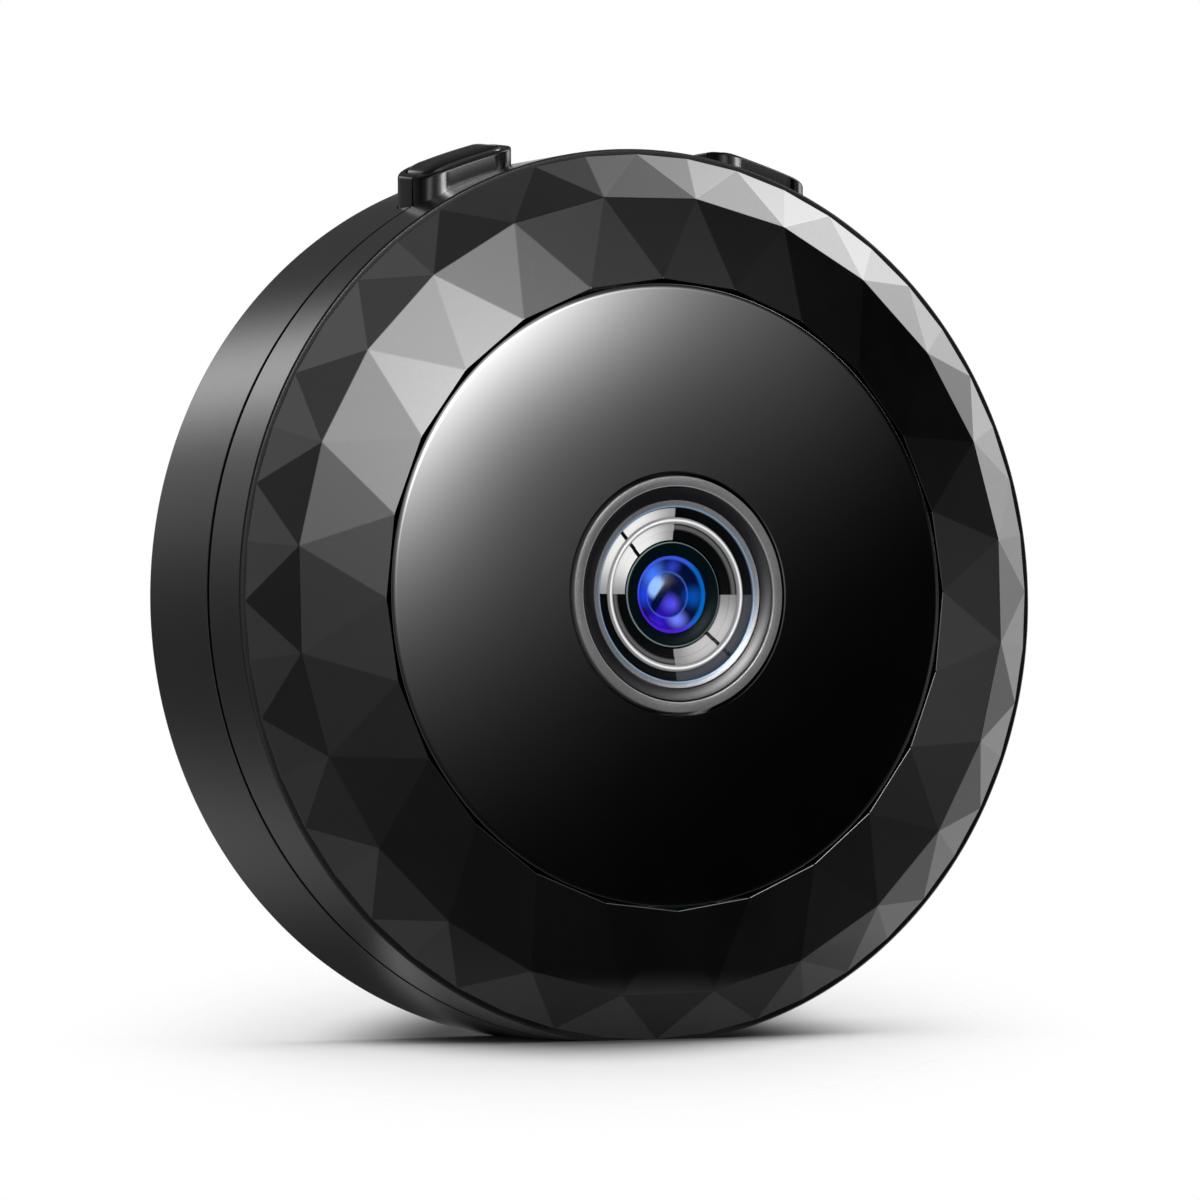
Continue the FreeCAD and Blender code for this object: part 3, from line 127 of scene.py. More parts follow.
class Shaping(Enum):
    """Ways in which one closed shape changes another."""

    ADD = "UNION"
    CUT = "DIFFERENCE"


# Meshes


def place(x: float, y: float, z: float) -> Spot:
    """Turn drawing millimetres into metres in the row frame."""
    return x * MM, y * MM, (z + AXIS_HEIGHT) * MM


def linked(name: str, mesh: Mesh) -> Object:
    """Put a mesh into the scene as an object at the origin."""
    piece = bpy.data.objects.new(name, mesh)
    bpy.context.scene.collection.objects.link(piece)
    return piece


def shaded(mesh: Mesh, sharp: float = 30.0) -> None:
    """Shade a mesh smooth except over edges that turn by more than some degrees."""
    mesh.shade_smooth()
    mesh.set_sharp_from_angle(angle=math.radians(sharp))


def keep_mesh(name: str, work: BMesh, sharp: float = 30.0) -> Object:
    """Make an object from a bmesh, smooth except over sharp corners.

    Args:
        name: Name of the piece.
        work: The finished bmesh, in metres, which is freed.
        sharp: Angle in degrees from which an edge is drawn sharp.

    Returns:
        The new object, at the origin.
    """
    bmesh.ops.remove_doubles(work, verts=work.verts, dist=WELD)
    bmesh.ops.recalc_face_normals(work, faces=work.faces)
    mesh = bpy.data.meshes.new(name)
    work.to_mesh(mesh)
    work.free()
    shaded(mesh, sharp)
    return linked(name, mesh)


def settled(piece: Object) -> None:
    """Turn a piece's live modifiers into its plain mesh and remove them."""
    bpy.context.view_layer.update()
    graph = bpy.context.evaluated_depsgraph_get()
    mesh = bpy.data.meshes.new_from_object(piece.evaluated_get(graph))
    piece.modifiers.clear()
    piece.data = mesh
    mesh.name = piece.name


def weighted(piece: Object, weight: int = 90) -> None:
    """Let large faces lead the shading, so that flat sides stay flat beside small roundings."""
    step = piece.modifiers.new("weighted", "WEIGHTED_NORMAL")
    step.keep_sharp = True
    step.weight = weight
    settled(piece)


def arc(middle: Point, radius: float, first: float, last: float, steps: int) -> list[Point]:
    """Points of an arc.

    Args:
        middle: Its middle.
        radius: Its radius.
        first: Angle of the first point, in degrees.
        last: Angle of the last point.
        steps: Number of parts of the arc.

    Returns:
        The arc's points, both ends included.
    """
    turns = [math.radians(first + (last - first) * k / steps) for k in range(steps + 1)]
    return [(middle[0] + radius * math.cos(t), middle[1] + radius * math.sin(t)) for t in turns]


def softened(outline: Sequence[Point], radius: float, steps: int = 3) -> list[Point]:
    """Round every corner of a closed outline.

    Args:
        outline: Corners as (radius, y), in order.
        radius: Rounding in millimetres, limited to a third of the shorter side.
        steps: Number of parts of the curve that replaces a corner.

    Returns:
        The outline with a short curve at each corner that isn't on the axis.
    """
    rounded: list[Point] = []
    for k, corner in enumerate(outline):
        before, here, after = (Vector(outline[n % len(outline)]) for n in (k - 1, k, k + 1))
        back, on = before - here, after - here
        if here.x < ON_AXIS or back.angle(on, math.pi) > NEARLY_STRAIGHT:
            rounded.append(corner)
            continue
        reach = min(radius, back.length / 3, on.length / 3)
        start, end = here + back.normalized() * reach, here + on.normalized() * reach
        for step in range(steps + 1):
            t = step / steps
            bent = start * (1 - t) ** 2 + here * 2 * t * (1 - t) + end * t * t
            rounded.append((bent.x, bent.y))
    return rounded


def lathe(outline: Sequence[Point], segments: int) -> BMesh:
    """Spin a closed outline of (radius, y) points about the camera's axis.

    Args:
        outline: The closed outline; points on the axis become poles.
        segments: Number of steps round the axis.

    Returns:
        A closed bmesh in metres, in the row frame.
    """
    work = bmesh.new()
    turns = [2 * math.pi * k / segments for k in range(segments)]
    rings = []
    for radius, y in outline:
        if radius < ON_AXIS:
            rings.append([work.verts.new(place(0, y, 0))] * segments)
        else:
            spots = (place(radius * math.cos(t), y, radius * math.sin(t)) for t in turns)
            rings.append([work.verts.new(spot) for spot in spots])
    for ring, following in zip(rings, rings[1:] + rings[:1]):
        for n in range(segments):
            corners = dict.fromkeys((ring[n], ring[n - 1], following[n - 1], following[n]))
            if len(corners) > 2:
                work.faces.new(list(corners))
    return work


def ball_of(radius: float, rise: float) -> float:
    """Radius of the sphere from which a dome of some radius and rise is cut."""
    return (radius ** 2 + rise ** 2) / (2 * rise)


def dome_curve(start: Point, end: float, ball: float, steps: int) -> list[Point]:
    """Points of the section of a shallow dome that rises toward the front.

    Args:
        start: First point, as (radius, y).
        end: Radius of the last point.
        ball: Radius of the sphere that it is cut from; where negative, a hollow.
        steps: Number of parts of the curve.

    Returns:
        The section's points, both ends included.
    """
    way = math.copysign(1.0, ball)
    points = []
    for k in range(steps + 1):
        r = start[0] + (end - start[0]) * k / steps
        rise = math.sqrt(ball * ball - r * r) - math.sqrt(ball * ball - start[0] ** 2)
        points.append((r, start[1] - way * rise))
    return points


def rounded_rectangle(length: float, width: float, corner: float, steps: int, along: int = 1) -> list[Point]:
    """A loop with quarter-round corners, long along x, with points along its long sides.

    Args:
        length: Length along x.
        width: Width.
        corner: Radius of the corners, limited by the width.
        steps: Number of parts of each corner.
        along: Number of parts of each long side.

    Returns:
        The loop's points as (x, y) about its middle.
    """
    corner = max(THIN, min(corner, width / 2 - THIN))
    reach, rise = length / 2 - corner, width / 2 - corner
    loop = []
    for quarter, (side, end) in enumerate(((1, 1), (-1, 1), (-1, -1), (1, -1))):
        loop += arc((side * reach, end * rise), corner, 90 * quarter, 90 * quarter + 90, steps)
        if quarter % 2 == 0:
            loop += [(side * reach * (1 - 2 * k / along), end * width / 2) for k in range(1, along)]
    return loop


def lofted(rings: Sequence[Sequence[Spot]], closed: bool = False) -> BMesh:
    """Skin a stack of equal loops.

    Args:
        rings: Loops of drawing points, each with the same number of points.
        closed: True where the last loop joins the first, as in a tube.

    Returns:
        A closed bmesh in metres.
    """
    work = bmesh.new()
    levels = [[work.verts.new(place(*p)) for p in ring] for ring in rings]
    for low, high in zip(levels, levels[1:] + levels[:1] if closed else levels[1:]):
        for n in range(len(low)):
            work.faces.new((low[n - 1], low[n], high[n], high[n - 1]))
    if not closed:
        work.faces.new(levels[0])
        work.faces.new(levels[-1])
    return work


def level(z: float) -> Height:
    """A rule for one height everywhere."""
    return lambda x, y: z


def trimmed(work: BMesh, origin: Spot, outward: Spot) -> BMesh:
    """Cut off what lies beyond a plane and close the cut.

    Args:
        work: A closed bmesh, which is changed.
        origin: A point of the plane, in metres.
        outward: Direction of the part that is cut off.

    Returns:
        The same bmesh.
    """
    cut = bmesh.ops.bisect_plane(
        work, geom=work.verts[:] + work.edges[:] + work.faces[:], dist=WELD / 10,
        plane_co=origin, plane_no=outward, clear_outer=True,
    )
    edges = [e for e in cut["geom_cut"] if isinstance(e, BMEdge)]
    bmesh.ops.holes_fill(work, edges=edges, sides=0)
    return work


def reshaped(piece: Object, tools: Iterable[BMesh], shaping: Shaping) -> None:
    """Add or cut away closed shapes, in millimetres, which keeps thin details whole.

    Args:
        piece: The piece, which gets a new plain mesh.
        tools: Closed bmeshes, which are freed.
        shaping: Whether they are added or cut away.
    """
    grow = Matrix.Scale(1 / MM, 4)
    piece.data.transform(grow)
    for work in tools:
        tool = keep_mesh("tool", work)
        tool.data.transform(grow)
        step = piece.modifiers.new("shaping", "BOOLEAN")
        step.operation = shaping.value
        step.solver = "MANIFOLD"
        step.object = tool
        settled(piece)
        mesh = tool.data
        bpy.data.objects.remove(tool)
        bpy.data.meshes.remove(mesh)
    shaded(piece.data)
    piece.data.transform(grow.inverted())


# Finishes


class Tree:
    """A short way to lay out the nodes of a material, of the world or of a modifier."""

    def __init__(self, owner: Material | World | NodeTree) -> None:
        """Clear the owner's node tree and start in it."""
        if not isinstance(owner, NodeTree):
            owner.use_nodes = True
            owner = owner.node_tree
        self.nodes, self.links = owner.nodes, owner.links
        self.nodes.clear()

    def add(self, kind: str, settings: dict | None = None, **inputs: object) -> Node:
        """Add a node.

        Args:
            kind: Node type, where a shader node goes without its ShaderNode prefix.
            settings: Properties of the node.
            inputs: Values or sockets by input name, with spaces as underscores, or by
                position as in_0, in_1. Colours go without their alpha.

        Returns:
            The node.
        """
        whole = kind.startswith(("GeometryNode", "FunctionNode", "NodeGroup"))
        node = self.nodes.new(kind if whole else "ShaderNode" + kind)
        for key, value in (settings or {}).items():
            setattr(node, key, value)
        for key, value in inputs.items():
            socket = node.inputs[int(key[3:]) if key.startswith("in_") else key.replace("_", " ")]
            if isinstance(value, NodeSocket):
                self.links.new(value, socket)
            else:
                socket.default_value = (*value, 1.0) if socket.type == "RGBA" else value
        return node

    def math(self, operation: str, *values: object) -> NodeSocket:
        """A math node's result."""
        inputs = {f"in_{k}": value for k, value in enumerate(values)}
        return self.add("Math", {"operation": operation}, **inputs).outputs[0]

    def ramp(self, value: NodeSocket, low: float, high: float, to: Point = (0.0, 1.0)) -> NodeSocket:
        """Map a value smoothly from low..high to another range."""
        return self.add("MapRange", {"interpolation_type": "SMOOTHSTEP"}, Value=value, From_Min=low,
                        From_Max=high, To_Min=to[0], To_Max=to[1]).outputs[0]

    def near(
        self, value: NodeSocket, middle: float, outer: float, inner: float, full: float = 1.0
    ) -> NodeSocket:
        """A share that is 0 farther than outer from a middle and full nearer than inner."""
        away = self.math("ABSOLUTE", self.math("SUBTRACT", value, middle))
        return self.ramp(away, outer, inner, (0.0, full))

    def rest(self, share: NodeSocket) -> NodeSocket:
        """What a share leaves of 1."""
        return self.math("SUBTRACT", 1.0, share)

    def mix(self, share: object, first: object, second: object) -> NodeSocket:
        """Mix two colours."""
        return self.add("Mix", {"data_type": "RGBA"}, in_0=share, in_6=first, in_7=second).outputs[2]

    def vector(self, x: object = 0.0, y: object = 0.0, z: object = 0.0) -> NodeSocket:
        """A vector, or a grey, from its parts."""
        return self.add("CombineXYZ", in_0=x, in_1=y, in_2=z).outputs[0]

    def along(self, way: NodeSocket, direction: Vector) -> NodeSocket:
        """How far a vector reaches along a direction."""
        return self.add("VectorMath", {"operation": "DOT_PRODUCT"}, in_0=way, in_1=direction).outputs["Value"]

    def where(self) -> NodeSocket:
        """A piece's own coordinates."""
        return self.add("TexCoord").outputs["Object"]

    def polar(self) -> tuple[NodeSocket, NodeSocket, NodeSocket]:
        """The radius, x and z about the camera's axis, in millimetres, for a pattern."""
        apart = self.add("SeparateXYZ", Vector=self.where()).outputs
        x = self.math("MULTIPLY", apart[0], 1 / MM)
        z = self.math("MULTIPLY_ADD", apart[2], 1 / MM, -AXIS_HEIGHT)
        return self.length(x, z), x, z

    def length(self, x: NodeSocket, z: NodeSocket) -> NodeSocket:
        """The length of a line that reaches x across and z up."""
        return self.math("SQRT", self.math("MULTIPLY_ADD", x, x, self.math("MULTIPLY", z, z)))


class Look:
    """A material that a piece can take."""

    name: str

    def surface(self, tree: Tree) -> NodeSocket:
        """Lay out the shader and give its result."""
        raise NotImplementedError

    def make(self) -> Material:
        """Make the material."""
        material = bpy.data.materials.new(self.name)
        tree = Tree(material)
        tree.add("OutputMaterial", Surface=self.surface(tree))
        return material


@dataclass(frozen=True)
class Finish(Look):
    """A moulded, painted or machined finish with grain and tone.

    Attributes:
        metallic: 0 for plastics and paint, 1 for bare metal.
        specular: Specular level of the shader.
        coat: Weight of a clear coat.
        spread: How far the tone wanders about the base colour.
        rough_spread: How far the roughness wanders.
        grain: Number of grains per metre.
        depth: Depth of the grain in the bump, 0 to 1.
        stretch: Stretch of the grain along x, y and z, for brushed finishes.
        clouds: Number of changes of tone per metre.
        bump: Height of the grain in metres at a depth of 1.
    """

    name: str
    colour: Colour
    roughness: float = 0.45
    metallic: float = 0.0
    specular: float = 0.5
    coat: float = 0.0
    spread: float = 0.12
    rough_spread: float = 0.06
    grain: float = 9000.0
    depth: float = 0.08
    stretch: Spot = (1.0, 1.0, 1.0)
    clouds: float = 260.0
    bump: float = 0.00002
    coat_roughness: float = 0.05

    def tone(self, tree: Tree, where: NodeSocket) -> NodeSocket:
        """The base colour, which wanders a little over the piece."""
        clouds = tree.add("TexNoise", Vector=where, Scale=self.clouds, Detail=3.0).outputs[0]
        dark = [c * (1 - self.spread) for c in self.colour]
        light = [min(1.0, c * (1 + self.spread)) for c in self.colour]
        return tree.mix(tree.ramp(clouds, 0.3, 0.7), dark, light)

    def surface(self, tree: Tree) -> NodeSocket:
        """Lay out tone, grain and gloss."""
        where = tree.where()
        laid = tree.add("Mapping", Vector=where, Scale=self.stretch).outputs[0]
        grain = tree.add("TexNoise", Vector=laid, Scale=self.grain, Detail=2.0).outputs[0]
        rough = (self.roughness - self.rough_spread, self.roughness + self.rough_spread)
        bump = tree.add("Bump", Strength=self.depth, Distance=self.bump, Height=grain)
        return tree.add(
            "BsdfPrincipled", Base_Color=self.tone(tree, where), Metallic=self.metallic,
            Roughness=tree.ramp(grain, 0.25, 0.75, rough), Specular_IOR_Level=self.specular,
            Coat_Weight=self.coat, Coat_Roughness=self.coat_roughness, Normal=bump.outputs[0],
        ).outputs[0]


@dataclass(frozen=True)
class RingFinish(Finish):
    """A finish with one thin ring of another colour, which is a painted highlight along an edge or crest.

    Attributes:
        line: Radius and width of the ring in millimetres.
        blur: Width over which the ring's edges fade.
        line_colour: Colour of the ring, a painted highlight.
    """

    line: Point = (1.0, 0.1)
    blur: float = 0.04
    line_colour: Colour = (0.3, 0.3, 0.3)

    def tone(self, tree: Tree, where: NodeSocket) -> NodeSocket:
        """The base colour with the painted highlight ring laid over it."""
        radius, width = self.line
        share = tree.near(tree.polar()[0], radius, (width + self.blur) / 2, (width - self.blur) / 2)
        return tree.mix(share, super().tone(tree, where), self.line_colour)


SATIN_SHELL = Finish("satin_shell", (0.0045, 0.0045, 0.0048), 0.2, specular=0.45, rough_spread=0.03,
                     grain=20000, depth=0.015)
# Painted shade: the parting groove and the grooves at the collars' feet are near black and mirror nothing.
SEAM_SHADE = Finish("seam_black", (0.002, 0.002, 0.002), 0.6, specular=0.0)
COLLAR_SHELL = Finish("collar_shell", (0.004, 0.004, 0.0043), 0.12, specular=0.16, rough_spread=0.01,
                      grain=20000, depth=0.0)
CAP_SHELL = replace(COLLAR_SHELL, name="button_shell", specular=0.45, depth=0.004)
FACETS = Finish("facet_gloss", (0.0016, 0.0016, 0.0017), 0.07, spread=0.3, rough_spread=0.02, grain=5200,
                depth=0.01)
# Painted shade: a copy of the facet finish that mirrors less, for the facets whose middles lie between two
# radii near the middle ring.
SHADED_FACETS = replace(FACETS, name="facet_dim", roughness=0.09, specular=0.27)
WINDOW_GLOSS = Finish("window_gloss", (0.0006, 0.0006, 0.0007), 0.035, spread=0.3, rough_spread=0.01,
                      grain=2500, depth=0.004)
# The thin lines of the trim, lip, bead and nose finishes are painted highlights along their edges and crests,
# the bead's white line in place of its shine.
TRIM_METAL = RingFinish("trim_metal", (0.105, 0.105, 0.107), 0.24, metallic=0.12, specular=0.2, grain=16000,
                        depth=0.02, line=(5.4, 0.05), line_colour=(0.28, 0.28, 0.28))
CONE_BLACK = Finish("cone_black", (0.005, 0.005, 0.006), 0.24, specular=0.17, rough_spread=0.0, depth=0.0)
LIP_METAL = RingFinish("lip_metal", (0.12, 0.125, 0.135), 0.25, metallic=0.1, specular=0.25, grain=12000,
                       depth=0.02, line=(4.39, 0.08), line_colour=(0.16, 0.26, 0.4))
BEAD_METAL = RingFinish("bead_metal", (0.24, 0.24, 0.245), 0.2, specular=0.2, grain=12000, depth=0.01,
                        line=(3.69, 0.08), blur=0.12, line_colour=(0.95, 0.95, 0.95))
NOSE_BLACK = RingFinish("nose_black", (0.001, 0.004, 0.0055), 0.2, specular=0.008, grain=12000, depth=0.01,
                        line=(2.6, 0.05), line_colour=(0.2, 0.26, 0.26))
PAD_RUBBER = Finish("pad_rubber", (0.02, 0.02, 0.02), 0.8, specular=0.3, grain=7000, depth=0.5)

# The finishes of the nodes that stay as they are, by record slot.
INNER_FINISHES = {
    finish.name: finish for finish in (
        Finish("adhesive", (0.05, 0.05, 0.05), 0.7, depth=0.3),
        Finish("magnet_nickel", (0.6, 0.59, 0.56), 0.22, metallic=1.0),
        Finish("screw_steel", (0.16, 0.16, 0.17), 0.35, metallic=1.0),
        Finish("filter_glass", (0.3, 0.55, 0.5), 0.06, coat=1.0, depth=0.0),
        Finish("holder_black", (0.03, 0.03, 0.03), 0.5, depth=0.15),
        Finish("plunger_white", (0.8, 0.79, 0.75)),
        Finish("sensor", (0.06, 0.05, 0.08), 0.12, coat=0.8, depth=0.01),
        Finish("circuit_board", (0.012, 0.11, 0.045), 0.35, coat=0.4, spread=0.3),
        Finish("ribbon_amber", (0.5, 0.24, 0.05), 0.3, coat=0.3),
        Finish("chip_black", (0.035, 0.035, 0.038), 0.55, depth=0.25),
        Finish("can_steel", (0.62, 0.62, 0.6), 0.3, metallic=1.0, stretch=(1, 8, 1)),
        Finish("antenna_ceramic", (0.8, 0.79, 0.74), 0.5),
        Finish("capacitor_tan", (0.42, 0.29, 0.17)),
        Finish("led_white", (0.78, 0.77, 0.7), 0.3, coat=0.5),
        Finish("shield_foam", (0.05, 0.05, 0.05), 0.9, depth=0.6),
        Finish("pin_gold", (0.83, 0.6, 0.22), 0.25, metallic=1.0),
        Finish("battery_foil", (0.66, 0.67, 0.68), 0.3, metallic=0.9, grain=2500),
        Finish("lead_red", (0.5, 0.03, 0.025)),
    )
} | {
    "lens_black": NOSE_BLACK,
    "clear_glass": Finish("inner_glass", (0.03, 0.035, 0.09), 0.05, coat=1.0, depth=0.0),
}


@dataclass(frozen=True)
class DialFinish(Look):
    """The dial's quarters, light and black in turn, which are painted reflections of the lights on the turned
    dial, with a painted highlight that fans out in the light quarters, a soft painted reflection ring and two
    printed ticks.

    Attributes:
        polished: Colours of the upper left quarter, a painted highlight, at its edges and in its middle.
        inner: The same of the lower right quarter inside the bead, a painted reflection; slate is outside it.
        ring_line: Radius of the soft ring, a painted reflection in the dark quarters, and how far from it the
            ring has faded out and is full.
        bead: Radii between which the bead hides the change to slate.
        tick: How far from its middle line a tick has faded out and is full.
        tick_span: Product of a place's sine and cosine where the ticks start and are full.
        lines: Radians of the turned lines per millimetre.
        line_height: Height of those lines in metres.
    """

    name: str = "dial_quarters"
    # The light quarters, the grey inner quarter, the slate band and the grey ring are painted reflections of
    # the lights on the turned dial; the sunburst from edges to middle is a painted highlight.
    polished: tuple[Colour, Colour] = ((0.3, 0.3, 0.3), (0.8, 0.8, 0.79))
    inner: tuple[Colour, Colour] = ((0.24, 0.24, 0.24), (0.5, 0.49, 0.49))
    slate: Colour = (0.045, 0.05, 0.06)
    black: Colour = (0.002, 0.0022, 0.0025)
    ring: Colour = (0.1, 0.1, 0.1)
    ring_line: tuple[float, float, float] = (3.36, 0.17, 0.03)
    quarter_fade: float = 0.015
    bead: Point = (3.68, 3.72)
    tick: Point = (0.12, 0.08)
    tick_span: Point = (-0.1, -0.2)
    lines: float = 40.0
    line_strength: float = 0.06
    line_height: float = 0.00001
    roughness: Point = (0.2, 0.26)
    specular: float = 0.012

    def surface(self, tree: Tree) -> NodeSocket:
        """Lay out painted reflection quarters and ring, painted highlight, ticks and turned lines."""
        radius, x, z = tree.polar()
        right, top = (tree.ramp(way, -self.quarter_fade, self.quarter_fade) for way in (x, z))
        upper_left = tree.math("MULTIPLY", tree.rest(right), top)
        lower_right = tree.math("MULTIPLY", right, tree.rest(top))
        crossed = tree.math("DIVIDE", tree.math("MULTIPLY", x, z), tree.math("MULTIPLY", radius, radius))
        # Painted highlight, brightest on the diagonals of the light quarters.
        highlight_burst = tree.ramp(tree.math("ABSOLUTE", crossed), 0.0, 0.5)
        polished, inner = (tree.mix(highlight_burst, *colours) for colours in (self.polished, self.inner))
        dark = tree.mix(tree.near(radius, *self.ring_line), self.black, self.ring)
        colour = tree.mix(upper_left, dark, polished)
        colour = tree.mix(lower_right, colour, tree.mix(tree.ramp(radius, *self.bead), inner, self.slate))
        slant = tree.math("MULTIPLY", tree.math("ADD", x, z), math.sqrt(0.5))
        tick = tree.math("MULTIPLY", tree.near(slant, 0.0, *self.tick), tree.ramp(crossed, *self.tick_span))
        colour = tree.mix(tick, colour, self.black)
        lines = tree.math("SINE", tree.math("MULTIPLY", radius, self.lines))
        bump = tree.add("Bump", Strength=self.line_strength, Distance=self.line_height, Height=lines)
        return tree.add(
            "BsdfPrincipled", Base_Color=colour, Roughness=tree.ramp(lines, -1.0, 1.0, self.roughness),
            Specular_IOR_Level=self.specular, Normal=bump.outputs[0],
        ).outputs[0]


class Zone(Enum):
    """Parts of the coated bowl."""

    WHOLE = 0
    OUTSIDE = 1
    INSIDE = 2


@dataclass(frozen=True)
class Glow:
    """A soft round patch of colour on the coated bowl, partly coating tint and partly painted reflection; the
    pale ones are painted highlights.
    """

    x: float
    z: float
    radius: float
    colour: Colour
    core: float = 0.0
    zone: Zone = Zone.WHOLE


@dataclass(frozen=True)
class CoatedBowl(Look):
    """The lens surfaces behind the front glass: navy with blue, violet and cyan zones that are partly coating
    tint and partly painted reflections, with painted highlights, a painted highlight line on the inner circle
    and a painted reflection round the rim.

    Attributes:
        wedge: Slope along x and z and shift of the navy stripe across the inner circle.
        wedge_fade: How far from its middle the stripe has faded out and is full.
        rim_colours: Colours of the painted reflection round the rim on the left, below and on the right.
        line_reach: Half width and strength of the thin painted highlight line on the inner circle.
    """

    name: str = "coated_bowl"
    navy: Colour = (0.0005, 0.004, 0.03)
    # Patches of coating tint and painted reflection; the two pale ones are painted highlights.
    glows: tuple[Glow, ...] = (
        Glow(-0.5, -1.3, 1.2, (0.075, 0.008, 0.55)),
        Glow(-1.4, 0.0, 1.0, (0.03, 0.08, 0.7)),
        Glow(-0.9, 1.0, 1.1, (0.09, 0.3, 1.0)),
        Glow(0.25, 1.4, 0.6, (0.05, 0.08, 0.5)),
        Glow(1.45, -0.1, 0.8, (0.0, 0.12, 0.42)),
        Glow(0.5, -1.2, 0.75, (0.42, 0.38, 1.0), 0.0, Zone.OUTSIDE),
        Glow(0.25, -0.45, 0.75, (0.16, 0.08, 0.7), 0.1, Zone.INSIDE),
        Glow(-0.6, 0.38, 0.72, (0.75, 0.9, 1.0), 0.4, Zone.INSIDE),
    )
    wedge: tuple[float, float, float] = (0.8, -0.6, 0.2)
    wedge_fade: Point = (0.3, 0.12)
    rim: Point = (1.7, 1.84)
    rim_colours: tuple[Colour, Colour, Colour] = ((0.12, 0.22, 1.0), (0.2, 0.03, 0.85), (0.0, 0.3, 0.72))
    rim_low: Point = (0.6, -1.0)
    rim_right: Point = (0.5, 1.6)
    inner_circle: float = 1.15
    circle_fade: float = 0.04
    circle_line: Colour = (0.12, 0.25, 0.8)
    line_reach: Point = (0.07, 0.6)
    roughness: float = 0.12
    specular: float = 0.02

    def surface(self, tree: Tree) -> NodeSocket:
        """Lay out patches of tint and painted reflection, stripe, painted highlight line on the inner circle
        and painted reflection round the rim.
        """
        radius, x, z = tree.polar()
        inside = tree.ramp(radius, self.inner_circle + self.circle_fade, self.inner_circle - self.circle_fade)
        zones = {Zone.OUTSIDE: tree.rest(inside), Zone.INSIDE: inside}
        colour = self.navy
        for tint_and_reflection in self.glows:
            reach = tree.length(tree.math("SUBTRACT", x, tint_and_reflection.x), tree.math("SUBTRACT", z, tint_and_reflection.z))
            share = tree.ramp(reach, tint_and_reflection.radius, tint_and_reflection.radius * tint_and_reflection.core)
            if tint_and_reflection.zone in zones:
                share = tree.math("MULTIPLY", share, zones[tint_and_reflection.zone])
            colour = tree.mix(share, colour, tint_and_reflection.colour)
        across, up, shift = self.wedge
        slant = tree.math("MULTIPLY_ADD", x, across, tree.math("MULTIPLY_ADD", z, up, shift))
        stripe = tree.math("MULTIPLY", inside, tree.near(slant, 0.0, *self.wedge_fade))
        colour = tree.mix(stripe, colour, self.navy)
        # Painted highlight line on the inner circle.
        half, strength = self.line_reach
        colour = tree.mix(tree.near(radius, self.inner_circle, half, 0.0, strength), colour, self.circle_line)
        # Painted reflection round the rim, in three colours.
        left, low, right = self.rim_colours
        sides = tree.mix(tree.ramp(z, *self.rim_low), left, low)
        sides = tree.mix(tree.ramp(x, *self.rim_right), sides, right)
        colour = tree.mix(tree.ramp(radius, *self.rim), colour, sides)
        return tree.add("BsdfPrincipled", Base_Color=colour, Roughness=self.roughness,
                        Specular_IOR_Level=self.specular).outputs[0]


@dataclass(frozen=True)
class ClearGlass(Look):
    """The front element: thin clear glass with a blue tint that mirrors the studio's lights."""

    name: str = "front_glass"
    tint: Colour = (0.8, 0.88, 1.0)
    edge_tint: Colour = (0.85, 0.9, 1.0)
    edge: Point = (1.2, 1.93)
    mirror: Colour = (1.0, 1.0, 1.0)
    roughness: float = 0.08
    index: float = 1.1

    def surface(self, tree: Tree) -> NodeSocket:
        """Lay out the clear and the mirroring part."""
        tint = tree.mix(tree.ramp(tree.polar()[0], *self.edge), self.tint, self.edge_tint)
        clear = tree.add("BsdfTransparent", Color=tint).outputs[0]
        mirror = tree.add("BsdfGlossy", Color=self.mirror, Roughness=self.roughness).outputs[0]
        share = tree.add("Fresnel", IOR=self.index).outputs[0]
        return tree.add("MixShader", in_0=share, in_1=clear, in_2=mirror).outputs[0]


def dressed(piece: Object, look: Look | None, slot: str, body: str, *nodes: str) -> None:
    """Give a piece its material, its body and the nodes it stands for.

    Args:
        piece: The finished piece.
        look: Its look, or None where the mesh already has its materials.
        slot: The record's material slot, not used.
        body: The body that it rides on.
        nodes: CAD nodes that it replaces.
    """
    if look:
        piece.data.materials.clear()
        piece.data.materials.append(look.make())
    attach(piece, body)
    if nodes:
        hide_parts(*nodes)
    LOG.info("%s: %d faces", piece.name, len(piece.data.polygons))


# Buttons and their collars


